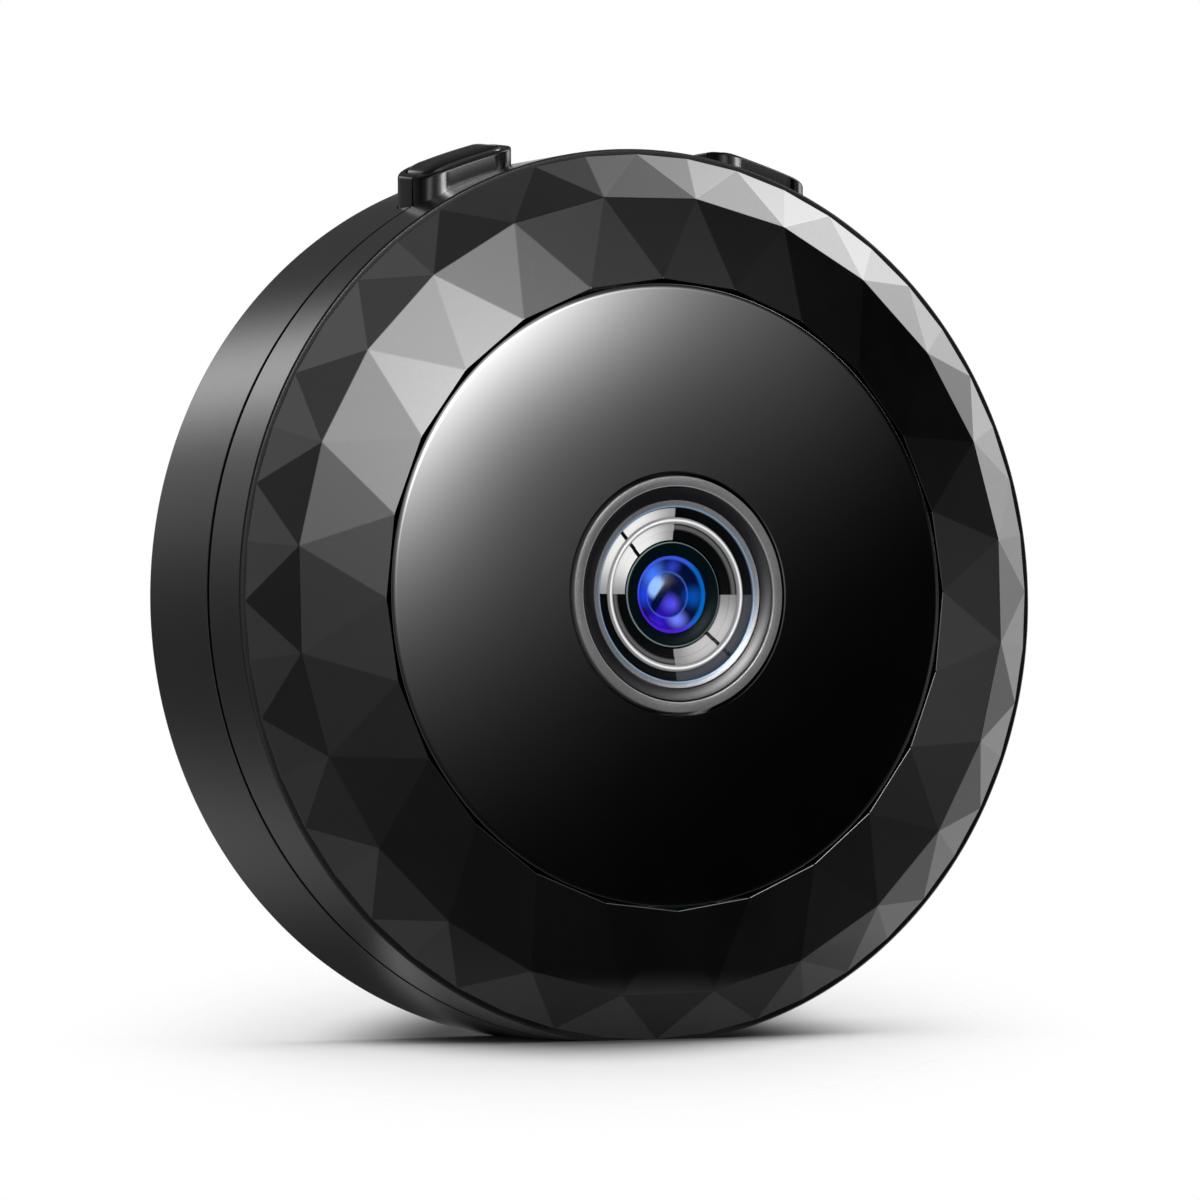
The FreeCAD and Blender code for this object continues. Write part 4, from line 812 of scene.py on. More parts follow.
@dataclass(frozen=True)
class Button:
    """One push button: a cap let into a raised collar that is parted with the shells."""

    side: Side
    offset: float = 8.43
    centre_y: float = 0.65
    length: float = 5.4
    width: float = 3.9
    corner: float = 1.25
    end_wall: float = 0.4
    side_wall: float = 0.35
    collar_top: float = 23.6
    collar_edge: float = 0.15
    collar_lip: float = 0.05
    cap_profile: tuple[Point, ...] = (
        (0.0, -0.08), (0.03, 0.02), (0.1, 0.09), (0.25, 0.16), (0.5, 0.22), (0.9, 0.27), (1.3, 0.28),
        (1.6, 0.28),
    )
    gap: float = 0.08
    bottom: float = 17.35
    flange: float = 0.1
    flange_thickness: float = 0.6
    flange_play: float = 0.35
    rest_gap: float = 0.1
    notch: float = 0.65
    room_top: float = 25.0
    seam: float = 0.12
    moat_width: float = 0.07
    moat_depth: float = 0.15
    moat_top: float = 26.0
    corner_steps: int = 8
    side_steps: int = 12

    @property
    def x(self) -> float:
        """Middle of the button."""
        return self.side.value * self.offset

    @property
    def lift(self) -> float:
        """How far the collar's outer end stands above the barrel's curve."""
        return 0.25 if self.side is Side.LEFT else 0.45

    @property
    def lean(self) -> float:
        """Rise of the top toward the back, per millimetre."""
        return 0.13 if self.side is Side.LEFT else 0.0

    @property
    def plan(self) -> Point:
        """Length and width of the collar."""
        return self.length, self.width

    @property
    def opening(self) -> Point:
        """Length and width of the opening in the collar."""
        return self.length - 2 * self.end_wall, self.width - 2 * self.side_wall

    def holds(self, x: float, y: float, margin: float = 0.4) -> bool:
        """Whether a point seen from above lies on the button or close round it."""
        return (abs(x - self.x) < self.length / 2 + margin
                and abs(y - self.centre_y) < self.width / 2 + margin)

    def crown(self, radius: float, drop: float) -> Height:
        """Height of a surface that follows the barrel at a radius, less a drop."""
        return lambda x, y: math.sqrt(radius * radius - x * x) - drop

    def top(self, drop: float) -> Height:
        """Height of the button's top, less a drop."""
        near = self.offset - self.length / 2
        curve = self.crown(self.collar_top, drop)
        return lambda x, y: curve(x, y) + self.lean * y + self.lift * ((abs(x) - near) / self.length) ** 2

    def stack(self, rings: Iterable[tuple[Point, float, Height]], closed: bool = False) -> BMesh:
        """Skin loops of the button's plan shape.

        Args:
            rings: Length and width, inset and rule of height of each loop.
            closed: True where the last loop joins the first.

        Returns:
            A closed bmesh in metres.
        """
        loops = []
        for (length, width), inset, height in rings:
            long, wide = length - 2 * inset, width - 2 * inset
            corner = self.corner + (wide - self.width) / 2
            loop = rounded_rectangle(long, wide, corner, self.corner_steps, self.side_steps)
            loops.append([(self.x + px, self.centre_y + py, height(self.x + px, py)) for px, py in loop])
        return lofted(loops, closed)

    def half_collar(self, sign: int) -> BMesh:
        """The part of the collar in front of (-1) or behind (1) the parting plane."""
        edge, lip = self.collar_edge, self.collar_lip
        rings = [(self.plan, 0.0, level(self.bottom))]
        outer, inner = arc((edge, edge), edge, 180, 270, 5), arc((-lip, lip), lip, -90, 0, 3)
        rings += [(self.plan, inset, self.top(drop)) for inset, drop in outer]
        rings += [(self.opening, inset, self.top(drop)) for inset, drop in inner]
        rings.append((self.opening, 0.0, level(self.bottom)))
        return trimmed(self.stack(rings, closed=True), place(0, sign * self.seam / 2, 0), (0, -sign, 0))

    def room(self) -> BMesh:
        """Room for the collar in a shell."""
        return self.stack((self.plan, 0.0, level(z)) for z in (self.bottom, self.room_top))

    def moat(self) -> BMesh:
        """The thin groove at the collar's foot."""
        floor = self.crown(Barrel.radius, self.moat_depth)
        return self.stack((self.plan, -self.moat_width, height) for height in (floor, level(self.moat_top)))

    def flange_room(self) -> BMesh:
        """Room for the flange of the cap under the collar."""
        low = self.bottom - self.flange_thickness - self.rest_gap - self.notch
        grow = self.flange + self.flange_play
        return self.stack((self.opening, -grow, level(z)) for z in (low, self.bottom + THIN))

    def build(self) -> None:
        """Make, dress and place the cap: a softly domed top that follows the barrel, and a flange."""
        high = self.bottom - self.rest_gap
        rings = [(self.opening, -self.flange, level(z)) for z in (high - self.flange_thickness, high)]
        rings.append((self.opening, self.gap, level(high)))
        rings += [(self.opening, self.gap + inset, self.top(-rise)) for inset, rise in self.cap_profile]
        piece = keep_mesh(f"{self.side.name.lower()}_cap", self.stack(rings), sharp=50.0)
        dressed(piece, CAP_SHELL, "shell_black", self.side.body, f"{self.side.body}_cap")


# Barrel


@dataclass(frozen=True)
class SideHole:
    """A hole along a radius through the barrel's side: a socket's mouth or a pin hole.

    Attributes:
        section: Its section as (y, across), about its middle.
        y: Its middle along y.
        angle: Degrees by which it lies from +X towards +Z.
        inside: Radius from which it is cut.
        outside: Radius to which it is cut.
    """

    section: Sequence[Point]
    y: float
    angle: float
    inside: float
    outside: float

    def cutter(self) -> BMesh:
        """The bar that cuts it."""
        c, s = math.cos(math.radians(self.angle)), math.sin(math.radians(self.angle))
        return lofted([
            [(r * c - a * s, self.y + y, r * s + a * c) for y, a in self.section]
            for r in (self.inside, self.outside)
        ])


class Part(Enum):
    """Parts of a shell, by the place of their material."""

    SHELL = 0
    SEAM = 1
    COLLAR = 2


@dataclass(frozen=True)
class Barrel:
    """The front ring and the rear housing with their collars, sockets and holes."""

    radius: float = 22.5
    inner: float = 21.3
    lip_inner: float = 20.4
    lip_gap: float = 0.05
    lip_back: float = 1.0
    shelf_inner: float = 15.2
    shelf: Point = (-2.9, -2.1)
    front: float = -3.7
    back: float = 7.15
    back_corner: float = 0.35
    recess: float = 19.3
    recess_edge: float = 0.04
    floor: Point = (5.95, 6.65)
    groove: float = 0.15
    groove_depth: float = 0.24
    chamfer: float = 0.09
    mouths: tuple[SideHole, ...] = (
        SideHole(rounded_rectangle(2.9, 7.9, 0.5, 4), 0.75, 0.0, 19.5, 24.0),
        SideHole(rounded_rectangle(1.1, 11.6, 0.2, 4), 0.4, -55.0, 18.5, 24.0),
    )
    pin_holes: tuple[SideHole, ...] = (
        SideHole(arc((0.0, 0.0), 0.55, 0, 360, 32)[:-1], 1.5, 42.0, 20.0, 23.5),
        SideHole(arc((0.0, 0.0), 0.5, 0, 360, 32)[:-1], 1.7, 24.0, 20.0, 23.5),
    )
    hair: float = 0.01
    moat_reach: float = 0.2
    front_rounding: float = 0.015
    rear_rounding: float = 0.05
    segments: int = 360

    def front_outline(self) -> list[Point]:
        """The front ring's section."""
        deep, lip = self.radius - self.groove_depth, self.inner - self.lip_gap
        (shelf_front, shelf_back), edge = self.shelf, self.front + self.chamfer
        return [
            (deep, 0.0), (deep, -self.groove), (self.radius, -self.groove), (self.radius, edge),
            (self.radius - self.chamfer, self.front), (self.inner, self.front), (self.inner, shelf_front),
            (self.shelf_inner, shelf_front), (self.shelf_inner, shelf_back), (self.lip_inner, shelf_back),
            (self.lip_inner, self.lip_back), (lip, self.lip_back), (lip, 0.0),
        ]

    def rear_outline(self) -> list[Point]:
        """The rear housing's section, from the axis out and back in."""
        deep, corner, edge = self.radius - self.groove_depth, self.back_corner, self.recess_edge
        inside, outside = self.floor
        return [
            (0.0, outside), (self.recess, outside), (self.recess, self.back - edge),
            (self.recess + edge, self.back),
            *arc((self.radius - corner, self.back - corner), corner, 90, 0, 6),
            (self.radius, self.groove), (deep, self.groove), (deep, 0.0), (self.inner, 0.0),
            (self.inner, inside), (0.0, inside),
        ]

    def part_of(self, spot: Vector, buttons: Sequence[Button]) -> Part:
        """Find the part of a shell to which a place belongs.

        Args:
            spot: The place, in metres.
            buttons: The buttons whose collars are part of the shells.

        Returns:
            The collars with the front edge, the seams with the grooves at the collars' feet, which take a
            painted shade, or the shell.
        """
        x, y, z = spot / MM
        reach = math.hypot(x, z - AXIS_HEIGHT)
        hair, skin = self.hair, self.radius - 2 * self.hair
        near_button = z > AXIS_HEIGHT and any(button.holds(x, y) for button in buttons)
        on_edge = y < self.front + self.chamfer + hair and reach > self.inner
        if on_edge or (near_button and reach > self.radius + hair):
            return Part.COLLAR
        in_groove = abs(y) < self.groove + hair and self.inner < reach < skin
        if in_groove or (near_button and self.radius - self.moat_reach < reach < skin):
            return Part.SEAM
        return Part.SHELL

    def build(self, buttons: Sequence[Button]) -> None:
        """Make, dress and place both shells.

        Args:
            buttons: The buttons whose collars are part of the shells.
        """
        looks = [look.make() for look in (SATIN_SHELL, SEAM_SHADE, COLLAR_SHELL)]
        front_cuts = [cut for b in buttons for cut in (b.room(), b.flange_room(), b.moat())]
        front_cuts += [mouth.cutter() for mouth in self.mouths]
        rear_cuts = [cut for b in buttons for cut in (b.room(), b.moat())]
        rear_cuts += [hole.cutter() for hole in (*self.mouths, *self.pin_holes)]
        for name, outline, rounding, cuts, sign, node in (
            ("barrel_front", self.front_outline(), self.front_rounding, front_cuts, -1, "front_ring"),
            ("barrel_rear", self.rear_outline(), self.rear_rounding, rear_cuts, 1, "rear_housing"),
        ):
            spun = lathe(softened(outline, rounding), self.segments)
            piece = keep_mesh(name, trimmed(spun, (0, 0, 0), (0, 0, -1)))
            reshaped(piece, cuts, Shaping.CUT)
            reshaped(piece, [button.half_collar(sign) for button in buttons], Shaping.ADD)
            weighted(piece)
            piece.data.materials.clear()
            for look in looks:
                piece.data.materials.append(look)
            for face in piece.data.polygons:
                face.material_index = self.part_of(face.center, buttons).value
            dressed(piece, None, "shell_black", BODY, node)


# Bezel


SOCKET_TYPES = {int: "NodeSocketInt", float: "NodeSocketFloat", Material: "NodeSocketMaterial"}


@dataclass(frozen=True)
class Bezel:
    """The ring of flat triangular facets, made from its three rings of corners."""

    count: int = 24
    outer: float = 22.25
    middle: float = 20.08
    inner: float = 15.79
    rim_y: float = -3.7
    middle_y: float = -5.07
    inner_y: float = -6.28
    wall: float = 0.9
    edge: float = 0.03
    edge_steps: int = 2
    least_edge_angle: float = 1.0
    turn: float = 1.0
    # Facets whose middles lie between these radii take the painted shade of the dimmer finish.
    dim_from: float = 20.2
    dim_to: float = 21.0
    facing_front: float = 0.999
    weld: float = 1e-6

    def values(self) -> dict[str, object]:
        """The value of each named input of the tree, in metres and degrees."""
        lengths = {
            "Outer radius": self.outer, "Middle radius": self.middle, "Inner radius": self.inner,
            "Outer depth": self.rim_y, "Middle depth": self.middle_y, "Inner depth": self.inner_y,
            "Wall": self.wall, "Dim from radius": self.dim_from, "Dim to radius": self.dim_to,
        }
        return {
            "Facet count": self.count, "Turn": self.turn,
            "Finish": FACETS.make(), "Dim finish": SHADED_FACETS.make(),
            **{title: length * MM for title, length in lengths.items()},
        }

    def tree(self, values: dict[str, object]) -> tuple[NodeTree, dict[str, str]]:
        """Build the tree that turns three rings of corners into a closed faceted ring.

        Args:
            values: The value of each named input, which decides on the input's type.

        Returns:
            The tree and the identifier of each of its named inputs.
        """
        group = bpy.data.node_groups.new("faceted_ring", "GeometryNodeTree")
        tree, named = Tree(group), group.interface.new_socket
        sockets = {
            title: named(title, in_out="INPUT", socket_type=SOCKET_TYPES[type(value)]).identifier
            for title, value in values.items()
        }
        named("Geometry", in_out="OUTPUT", socket_type="NodeSocketGeometry")
        given = tree.add("NodeGroupInput").outputs

        def moved(geometry: NodeSocket, shift: object, turn: object = (0.0, 0.0, 0.0)) -> NodeSocket:
            """Geometry after a turn and a shift."""
            return tree.add("GeometryNodeTransform", in_0=geometry, in_1=shift, in_2=turn).outputs[0]

        def joined(*parts: NodeSocket) -> NodeSocket:
            """Several geometries as one."""
            join = tree.add("GeometryNodeJoinGeometry")
            for part in parts:
                tree.links.new(part, join.inputs[0])
            return join.outputs[0]

        def ring(count: NodeSocket, name: str, turn: NodeSocket) -> NodeSocket:
            """One ring of corners about the camera's axis."""
            radius, depth = given[f"{name} radius"], given[f"{name} depth"]
            circle = tree.add("GeometryNodeMeshCircle", {"fill_type": "NONE"}, in_0=count, in_1=radius)
            laid = moved(circle.outputs[0], (0.0, 0.0, 0.0), tree.vector(z=turn))
            return moved(laid, tree.vector(y=depth, z=AXIS_HEIGHT * MM), (math.pi / 2, 0.0, 0.0))

        count = given["Facet count"]
        turn = tree.math("MULTIPLY", given["Turn"], math.pi / 180)
        half_turn = tree.math("ADD", turn, tree.math("DIVIDE", tree.math("DIVIDE", 2 * math.pi, count), 2.0))
        rings = joined(
            ring(tree.math("MULTIPLY", count, 2.0), "Outer", turn), ring(count, "Middle", half_turn),
            ring(count, "Inner", turn),
        )
        hull = tree.add("GeometryNodeConvexHull", in_0=rings).outputs[0]
        normal = tree.add("SeparateXYZ", in_0=tree.add("GeometryNodeInputNormal").outputs[0]).outputs
        flat = tree.math("GREATER_THAN", tree.math("ABSOLUTE", normal[1]), self.facing_front)
        band = tree.add("GeometryNodeDeleteGeometry", {"domain": "FACE"}, in_0=hull, in_1=flat).outputs[0]
        back = moved(band, tree.vector(y=given["Wall"]))
        pull = tree.vector(y=tree.math("MULTIPLY", given["Wall"], -1.0))
        raised = tree.add("GeometryNodeExtrudeMesh", in_0=back, in_2=pull, in_3=1.0, in_4=False).outputs[0]
        both = joined(raised, tree.add("GeometryNodeFlipFaces", in_0=back).outputs[0])
        spot = tree.add("SeparateXYZ", in_0=tree.add("GeometryNodeInputPosition").outputs[0]).outputs
        seated = tree.vector(spot[0], tree.math("MINIMUM", spot[1], given["Outer depth"]), spot[2])
        placed = tree.add("GeometryNodeSetPosition", in_0=both, in_2=seated).outputs[0]
        welded = tree.add("GeometryNodeMergeByDistance", in_0=placed, Distance=self.weld).outputs[0]
        real = tree.add("GeometryNodeRealizeInstances", in_0=welded).outputs[0]
        gloss = tree.add("GeometryNodeSetMaterial", in_0=real, in_2=given["Finish"]).outputs[0]
        away = tree.vector(spot[0], tree.math("SUBTRACT", spot[2], AXIS_HEIGHT * MM))
        reach = tree.add("VectorMath", {"operation": "LENGTH"}, in_0=away).outputs["Value"]
        # Painted shade: the facets between the two radii take the dimmer copy of the finish.
        dim = tree.add("FunctionNodeBooleanMath", {"operation": "AND"},
                       in_0=tree.math("GREATER_THAN", reach, given["Dim from radius"]),
                       in_1=tree.math("LESS_THAN", reach, given["Dim to radius"])).outputs[0]
        finished = tree.add("GeometryNodeSetMaterial", in_0=gloss, in_1=dim, in_2=given["Dim finish"])
        tree.add("NodeGroupOutput", in_0=finished.outputs[0])
        return group, sockets

    def build(self) -> None:
        """Make, dress and place the ring of facets."""
        piece = linked("facet_ring", bpy.data.meshes.new("facet_ring"))
        values = self.values()
        group, sockets = self.tree(values)
        modifier = piece.modifiers.new("facets", "NODES")
        modifier.node_group = group
        for title, value in values.items():
            modifier[sockets[title]] = value
        soft = piece.modifiers.new("edges", "BEVEL")
        soft.width = self.edge * MM
        soft.segments = self.edge_steps
        soft.limit_method = "ANGLE"
        soft.angle_limit = math.radians(self.least_edge_angle)
        settled(piece)
        shaded(piece.data, sharp=0.05)
        if piece.data.materials[0] is None:
            piece.data.materials.pop(index=0)
        dressed(piece, None, "bezel_black", BODY, "faceted_bezel")


# Window, lens and back


@dataclass(frozen=True)
class Window:
    """The domed black window with its hole for the lens."""

    radius: float = 15.555
    hole: float = 6.09
    edge_y: float = -6.28
    rear_y: float = -5.38
    dome: float = 0.94
    soft: float = 0.05
    corner_share: float = 0.3
    front_step: float = 0.006
    parts: int = 40

    def build(self) -> None:
        """Make, dress and place the window."""
        start = (self.radius - self.soft, self.edge_y - self.front_step)
        front = dome_curve(start, self.hole + self.soft, ball_of(self.radius, self.dome), self.parts)
        outline = [
            *front, (self.hole, front[-1][1] + self.soft), (self.hole, self.rear_y),
            (self.radius, self.rear_y), (self.radius, self.edge_y + self.soft),
            (self.radius - self.soft * self.corner_share, self.edge_y + self.soft * self.corner_share),
        ]
        piece = keep_mesh("window", lathe(outline, ROUND), sharp=40.0)
        dressed(piece, WINDOW_GLOSS, "window_black", BODY, "front_window")


@dataclass(frozen=True)
class LensRing:
    """One of the turned rings round the lens."""

    name: str
    look: Look
    slot: str
    node: str
    rounding: float
    outline: Sequence[Point]
    sharp: float = 35.0

    def build(self) -> None:
        """Make, dress and place the ring."""
        section = softened(self.outline, self.rounding) if self.rounding else self.outline
        piece = keep_mesh(self.name, lathe(section, ROUND), self.sharp)
        dressed(piece, self.look, self.slot, BODY, self.node)


LENS_RINGS = (
    LensRing("trim_ring", TRIM_METAL, "trim_grey", "lens_trim_ring", 0.05, (
        (5.9, -7.15), (5.38, -7.15), (5.38, -4.73), (7.3, -4.73), (7.3, -5.38), (5.9, -5.38),
    )),
    LensRing("cone", CONE_BLACK, "cone_black", "lens_cone", 0.03, (
        (5.31, -7.1), (4.72, -6.975), (4.72, -6.56), (3.98, -6.56), (3.98, -5.34), (5.31, -5.34),
    )),
    LensRing("lip_ring", LIP_METAL, "bright_metal", "lens_lip", 0.03, (
        (4.69, -6.985), (4.34, -6.905), (4.34, -6.22), (4.69, -6.22),
    )),
    LensRing("dial", DialFinish(), "dial_metal", "dial_ring", 0.012, (
        (4.31, -6.84), (3.88, -6.7643), (3.86, -6.741), (3.84, -6.7573), (3.50, -6.6974),
        (3.48, -6.674), (3.44, -6.6868), (3.17, -6.6393), (3.12, -6.58),
        (2.72, -6.51), (2.72, -6.22), (4.31, -6.22),
    )),
    LensRing("bead", BEAD_METAL, "bright_metal", "bead_ring", 0.0,
             arc((3.69, -6.691), 0.17, 0, 360, 18)[:-1], sharp=60.0),
    LensRing("lens_nose", NOSE_BLACK, "lens_black", "lens_barrel", 0.03, (
        (1.95, -6.42), (2.56, -6.54), (2.64, -6.46), (2.64, -6.12), (3.48, -6.12), (3.48, -1.84),
        (2.4, -1.84), (2.4, -3.0), (1.3, -3.0), (1.3, -4.34), (1.95, -4.34),
    )),
)


@dataclass(frozen=True)
class Glass:
    """The front glass, a clear dome over a coated bowl with painted reflections and highlights."""

    radius: float = 1.93
    edge_y: float = -6.42
    dome: float = 0.42
    thickness: float = 0.05
    bowl_drop: float = 0.09
    bowl_ball: float = 3.2
    bowl_thickness: float = 0.15
    parts: int = 24

    def build(self) -> None:
        """Make, dress and place the glass and the bowl behind it."""
        rear = self.edge_y + self.thickness
        front = dome_curve((self.radius, self.edge_y), 0.0, ball_of(self.radius, self.dome), self.parts)
        dome = lathe([*front, (0.0, rear), (self.radius, rear)], ROUND // 2)
        dressed(keep_mesh("front_glass", dome, sharp=40.0), ClearGlass(), "coated_glass", BODY, "front_lens")
        bowl = dome_curve((self.radius, self.edge_y + self.bowl_drop), 0.0, -self.bowl_ball, self.parts)
        last = bowl[-1][1] + self.bowl_thickness
        bowl = lathe([*bowl, (0.0, last), (self.radius, last)], ROUND // 2)
        dressed(keep_mesh("coated_bowl", bowl, sharp=40.0), CoatedBowl(), "clear_glass", BODY)


@dataclass(frozen=True)
class Back:
    """The rubber pad let into the flat back, with shallow grip rings."""

    radius: float = 19.2
    front_y: float = 6.65
    back_y: float = 7.15
    rings: tuple[float, ...] = (17.6, 14.0, 10.4, 6.8)
    ring_width: float = 0.6
    ring_depth: float = 0.14
    floor_share: float = 0.5
    rounding: float = 0.08

    def build(self) -> None:
        """Make, dress and place the pad."""
        outline = [(self.radius, self.front_y), (self.radius, self.back_y)]
        half, floor = self.ring_width / 2, self.back_y - self.ring_depth
        low = half * self.floor_share
        for ring in self.rings:
            outline += [(ring + half, self.back_y), (ring + low, floor), (ring - low, floor),
                        (ring - half, self.back_y)]
        outline += [(0.0, self.back_y), (0.0, self.front_y)]
        piece = keep_mesh("back_pad", lathe(softened(outline, self.rounding), ROUND), sharp=40.0)
        dressed(piece, PAD_RUBBER, "pad_rubber", BODY, "rear_pad")


@dataclass(frozen=True)
class Insides:
    """The CAD nodes that stay as they are and take finishes of their own."""

    frame: dict

    def build(self) -> None:
        """Give each shown node the finish of its slot."""
        made = {slot: finish.make() for slot, finish in INNER_FINISHES.items()}
        for row in self.frame["record"]["subparts"]:
            node, slot = self.frame["nodes"][row["node"]], row["material_slot"]
            if slot in made and not node.hide_render:
                node.data.materials.clear()
                node.data.materials.append(made[slot])


# Studio


def facing(azimuth: float, elevation: float) -> tuple[Vector, Vector, Vector]:
    """Directions toward a place far from the object, to the right of it and up from it.

    Args:
        azimuth: Degrees to the right of the camera's front axis.
        elevation: Degrees above the horizon.

    Returns:
        The three directions, square to each other.
    """
    az, el = math.radians(azimuth), math.radians(elevation)
    toward = Vector((math.sin(az) * math.cos(el), -math.cos(az) * math.cos(el), math.sin(el)))
    right = Vector((math.cos(az), math.sin(az), 0.0))
    return toward, right, toward.cross(right)


@dataclass(frozen=True)
class SoftLight:
    """One soft light of the studio, given by the direction it comes from.

    Attributes:
        azimuth: Degrees to the right of the camera's front axis.
        elevation: Degrees above the horizon.
        strength: Brightness at its middle.
        focus: How quickly it fades away from its middle; higher is smaller.
        squeeze: How much narrower it is across its lean than along it.
        lean: Degrees by which the squeezed direction leans up from the right.
    """

    azimuth: float
    elevation: float
    strength: float
    focus: float
    squeeze: float = 0.0
    lean: float = 0.0

    def added(self, tree: Tree, way: NodeSocket, total: NodeSocket) -> NodeSocket:
        """Add the light to the brightness that is seen in some direction.

        Args:
            tree: The world's tree.
            way: The direction.
            total: The brightness of what is there already.

        Returns:
            The new brightness.
        """
        toward, right, up = facing(self.azimuth, self.elevation)
        fade = tree.math("MULTIPLY_ADD", tree.along(way, toward), self.focus, -self.focus)
        if self.squeeze:
            lean = math.radians(self.lean)
            side = tree.along(way, right * math.cos(lean) + up * math.sin(lean))
            fade = tree.math("MULTIPLY_ADD", tree.math("MULTIPLY", side, side), -self.squeeze, fade)
        return tree.math("MULTIPLY_ADD", tree.math("EXPONENT", fade), self.strength, total)


LIGHTS = (
    SoftLight(10.6, 15.0, 41.8, 93.3, 58.7, -12.5),
    SoftLight(15.1, 17.4, 45.4, 60.5, 87.0, -75.3),
    SoftLight(34.2, 19.6, 1.9, 90.0),
    SoftLight(75.5, 40.2, 15.6, 17.6, 67.6, 40.0),
    SoftLight(87.5, 4.2, 5.0, 41.7, 215.0, -25.0),
    SoftLight(101.0, -10.6, 3.0, 3.7, 25.5, 4.0),
    SoftLight(-1.8, 28.2, 8.7, 27.4),
    SoftLight(-48.5, 19.8, 2.5, 1.2, 22.5, -14.0),
    SoftLight(-22.7, -43.8, 0.73, 5.3, 4.2, 18.0),
    SoftLight(13.5, 7.7, 2.0, 21.0, 23.4, -57.0),
    SoftLight(59.3, -2.7, 0.8, 81.0, 28.0, -17.0),
    SoftLight(77.4, -26.6, 1.7, 20.4, 9.6, -52.0),
    SoftLight(-168.0, 24.0, 2.86, 147.0),
    SoftLight(-159.2, 13.0, 0.46, 93.0),
    SoftLight(-174.2, -15.0, 0.99, 99.5),
    SoftLight(-163.1, 23.4, 0.15, 3.1),
)


@dataclass(frozen=True)
class Patch:
    """An ellipse on the floor.

    Attributes:
        middle: Its middle, in millimetres to the right and away from the object.
        halves: Half lengths to the right and away.
        inner: Share of the reach from which it starts to fade.
        bearing: Degrees by which its away direction turns from +Y to +X.
    """

    middle: Point
    halves: Point
    inner: float
    bearing: float = 28.36

    def share(self, tree: Tree) -> NodeSocket:
        """How far a place is out of the patch, from 0 inside to 1 at its edge."""
        turn, where = math.radians(self.bearing), tree.where()
        ways = Vector((math.cos(turn), -math.sin(turn), 0.0)), Vector((math.sin(turn), math.cos(turn), 0.0))
        squares = 0.0
        for way, middle, half in zip(ways, self.middle, self.halves):
            off = tree.math("SUBTRACT", tree.along(where, way / (half * MM)), middle / half)
            squares = tree.math("MULTIPLY_ADD", off, off, squares)
        return tree.ramp(tree.math("SQRT", squares), self.inner, 1.0)


@dataclass(frozen=True)
class Paper(Look):
    """The floor's pale paper with a painted shadow under the object on top of its real shadow, whose edge
    melts into the white of the room.

    Glossy pieces mirror only its nearest part: the room in front of it is dark.
    """

    name: str = "paper"
    tone: float = 0.9
    # Darkest tone of the painted shadow, as a share of the paper's.
    contact_tone: float = 0.12
    sheet: Patch = Patch((-2.0, 6.0), (28.5, 50.0), 0.3)
    gloss_patch: Patch = Patch((0.0, 0.0), (26.0, 11.0), 0.65, 0.0)
    # Painted shadow under the object, and a smaller one that glossy pieces mirror.
    contact: Patch = Patch((-1.4, 6.0), (15.5, 24.0), 0.48)
    mirrored_contact: Patch = Patch((-5.0, 10.0), (16.0, 13.0), 0.5)

    def surface(self, tree: Tree) -> NodeSocket:
        """Lay out the paper, its painted shadow and its fading edge."""
        glossy = tree.add("LightPath").outputs["Is Glossy Ray"]
        mirrored_fade = tree.math("MULTIPLY", glossy, self.gloss_patch.share(tree))
        fade = tree.math("MAXIMUM", self.sheet.share(tree), mirrored_fade)
        # Painted shadow: the paper darkens near the object, in another ellipse for glossy rays.
        painted_shadow_share, mirrored_painted_shadow_share = self.contact.share(tree), self.mirrored_contact.share(tree)
        painted_shadow_share = tree.math("MULTIPLY_ADD", glossy, tree.math("SUBTRACT", mirrored_painted_shadow_share, painted_shadow_share), painted_shadow_share)
        dark = self.tone * self.contact_tone
        tone = tree.math("MULTIPLY_ADD", painted_shadow_share, self.tone - dark, dark)
        sheet = tree.add("BsdfDiffuse", Color=tree.vector(tone, tone, tone)).outputs[0]
        clear = tree.add("BsdfTransparent").outputs[0]
        return tree.add("MixShader", in_0=fade, in_1=sheet, in_2=clear).outputs[0]


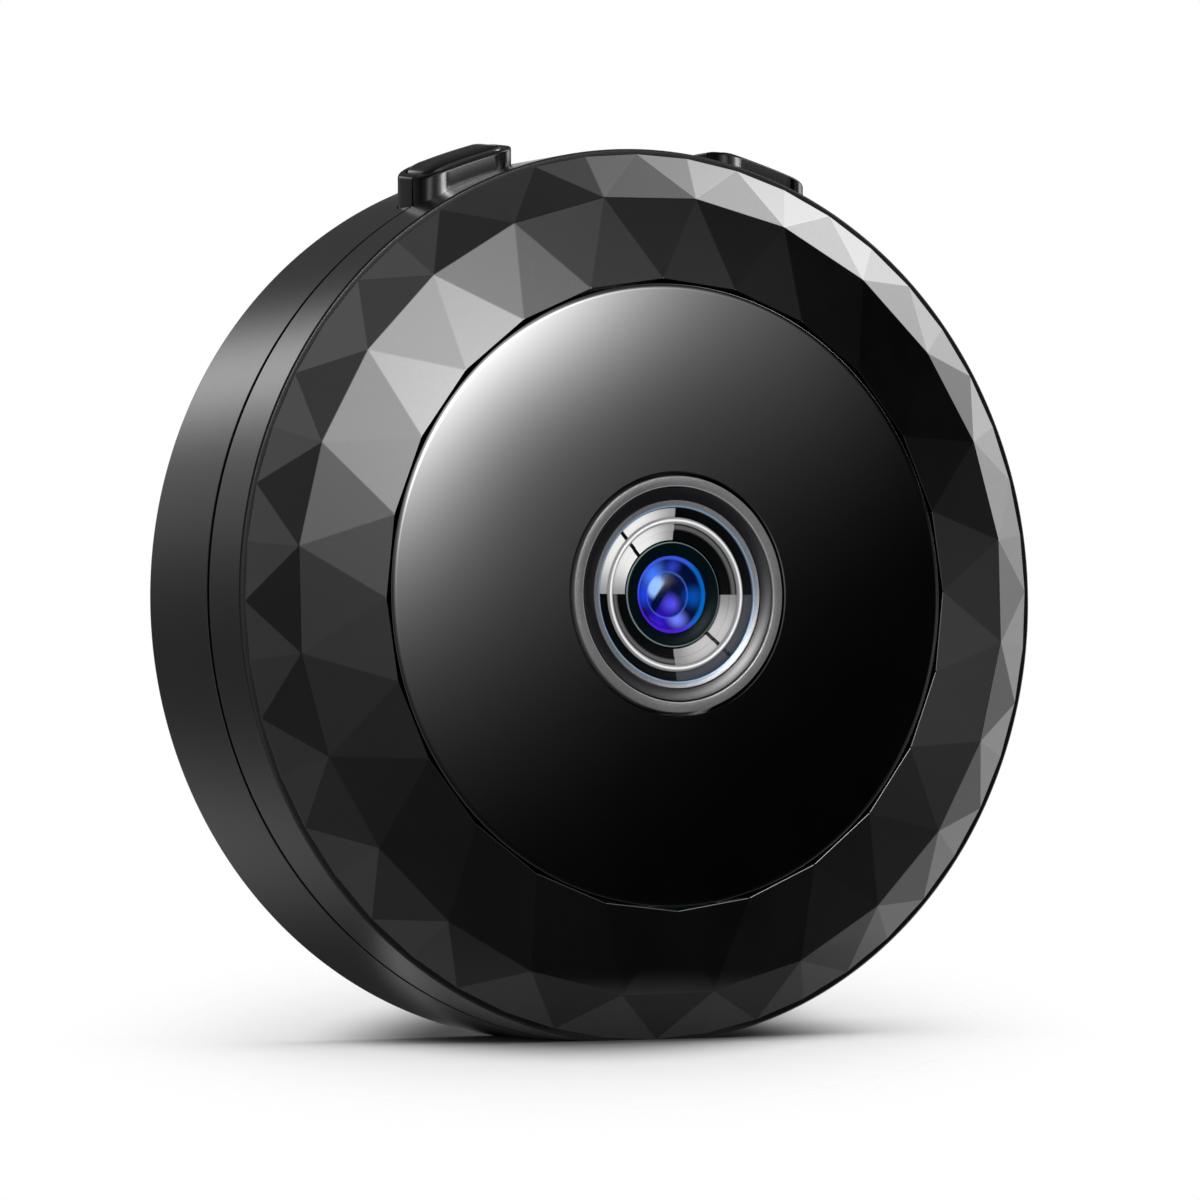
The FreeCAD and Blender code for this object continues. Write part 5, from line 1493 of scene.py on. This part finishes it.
@dataclass(frozen=True)
class Studio:
    """World, floor and camera."""

    ambient: float = 1.12
    room: float = 0.005
    backdrop: Point = (0.97, 0.99)
    floor_radius: float = 75.0
    floor_steps: int = 60
    floor_flat: float = 7.0
    floor_slope: float = 0.105
    floor_ease: float = 4.0
    yaw: float = -28.36
    pitch: float = -1.60
    roll: float = -0.42
    distance: float = 359.3
    lens: float = 214.62
    sensor: float = 36.0
    shift: Point = (-0.0385, -0.0033)
    clip_start: float = 0.01

    def world(self) -> None:
        """White for the camera and behind the object, soft lights for gloss, level ambient light."""
        world = bpy.data.worlds.new("studio")
        bpy.context.scene.world = world
        tree = Tree(world)
        way = tree.add("TexCoord").outputs["Generated"]
        behind = -facing(self.yaw, self.pitch)[0]
        total = tree.ramp(tree.along(way, behind), *self.backdrop, (self.room, 1.0))
        for light in LIGHTS:
            total = light.added(tree, way, total)
        path = tree.add("LightPath").outputs
        seen = tree.math("MAXIMUM", path["Is Camera Ray"], path["Is Transmission Ray"])
        glossy = path["Is Glossy Ray"]
        bright = tree.math("MULTIPLY", tree.rest(glossy), self.ambient)
        bright = tree.math("MULTIPLY_ADD", glossy, total, bright)
        bright = tree.math("MULTIPLY_ADD", bright, tree.rest(seen), seen)
        ground = tree.add("Background", Color=tree.vector(bright, bright, bright), Strength=1.0)
        tree.add("OutputWorld", Surface=ground.outputs[0])

    def floor(self) -> None:
        """A paper sweep, flat under the object, that rises behind it and falls in front of it."""
        away = -facing(self.yaw, self.pitch)[0]
        steps = self.floor_steps
        work = bmesh.new()
        bmesh.ops.create_grid(work, x_segments=steps, y_segments=steps, size=self.floor_radius * MM)
        for vert in work.verts:
            deep = (vert.co.x * away.x + vert.co.y * away.y) / MM
            beyond = max(0.0, abs(deep) - self.floor_flat)
            rise = self.floor_slope * beyond * beyond / (beyond + self.floor_ease)
            vert.co.z = math.copysign(rise, deep) * MM
        mesh = bpy.data.meshes.new("floor")
        work.to_mesh(mesh)
        work.free()
        mesh.shade_smooth()
        mesh.materials.append(Paper().make())
        floor = linked("floor", mesh)
        floor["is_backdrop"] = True

    def camera(self) -> None:
        """The camera at the photograph's place, turned and framed as it was."""
        back, right, up = facing(self.yaw, self.pitch)
        roll = math.radians(self.roll)
        across = math.cos(roll) * right + math.sin(roll) * up
        upright = math.cos(roll) * up - math.sin(roll) * right
        data = bpy.data.cameras.new("photo_view")
        data.lens, data.sensor_width, data.clip_start = self.lens, self.sensor, self.clip_start
        data.shift_x, data.shift_y = self.shift
        view = bpy.data.objects.new("photo_view", data)
        target = Vector(place(0.0, Barrel.front, 0.0))
        turn = Matrix((across, upright, back)).transposed().to_4x4()
        view.matrix_world = Matrix.Translation(target + back * self.distance * MM) @ turn
        bpy.context.scene.collection.objects.link(view)
        bpy.context.scene.camera = view

    def build(self) -> None:
        """Set up the whole studio."""
        bpy.context.scene.view_settings.view_transform = "Standard"
        self.world()
        self.floor()
        self.camera()


def corners() -> list[list[float]]:
    """The lowest and highest corner of what shows, as plain numbers."""
    return [list(corner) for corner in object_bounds()]


def main() -> None:
    """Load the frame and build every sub-assembly."""
    logging.basicConfig(level=logging.INFO, format="%(name)s: %(message)s")
    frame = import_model()
    Studio().build()
    buttons = [Button(side) for side in Side]
    Barrel().build(buttons)
    for part in (*buttons, Bezel(), Window(), *LENS_RINGS, Glass(), Back(), Insides(frame)):
        part.build()


if __name__ == "__main__":
    main()
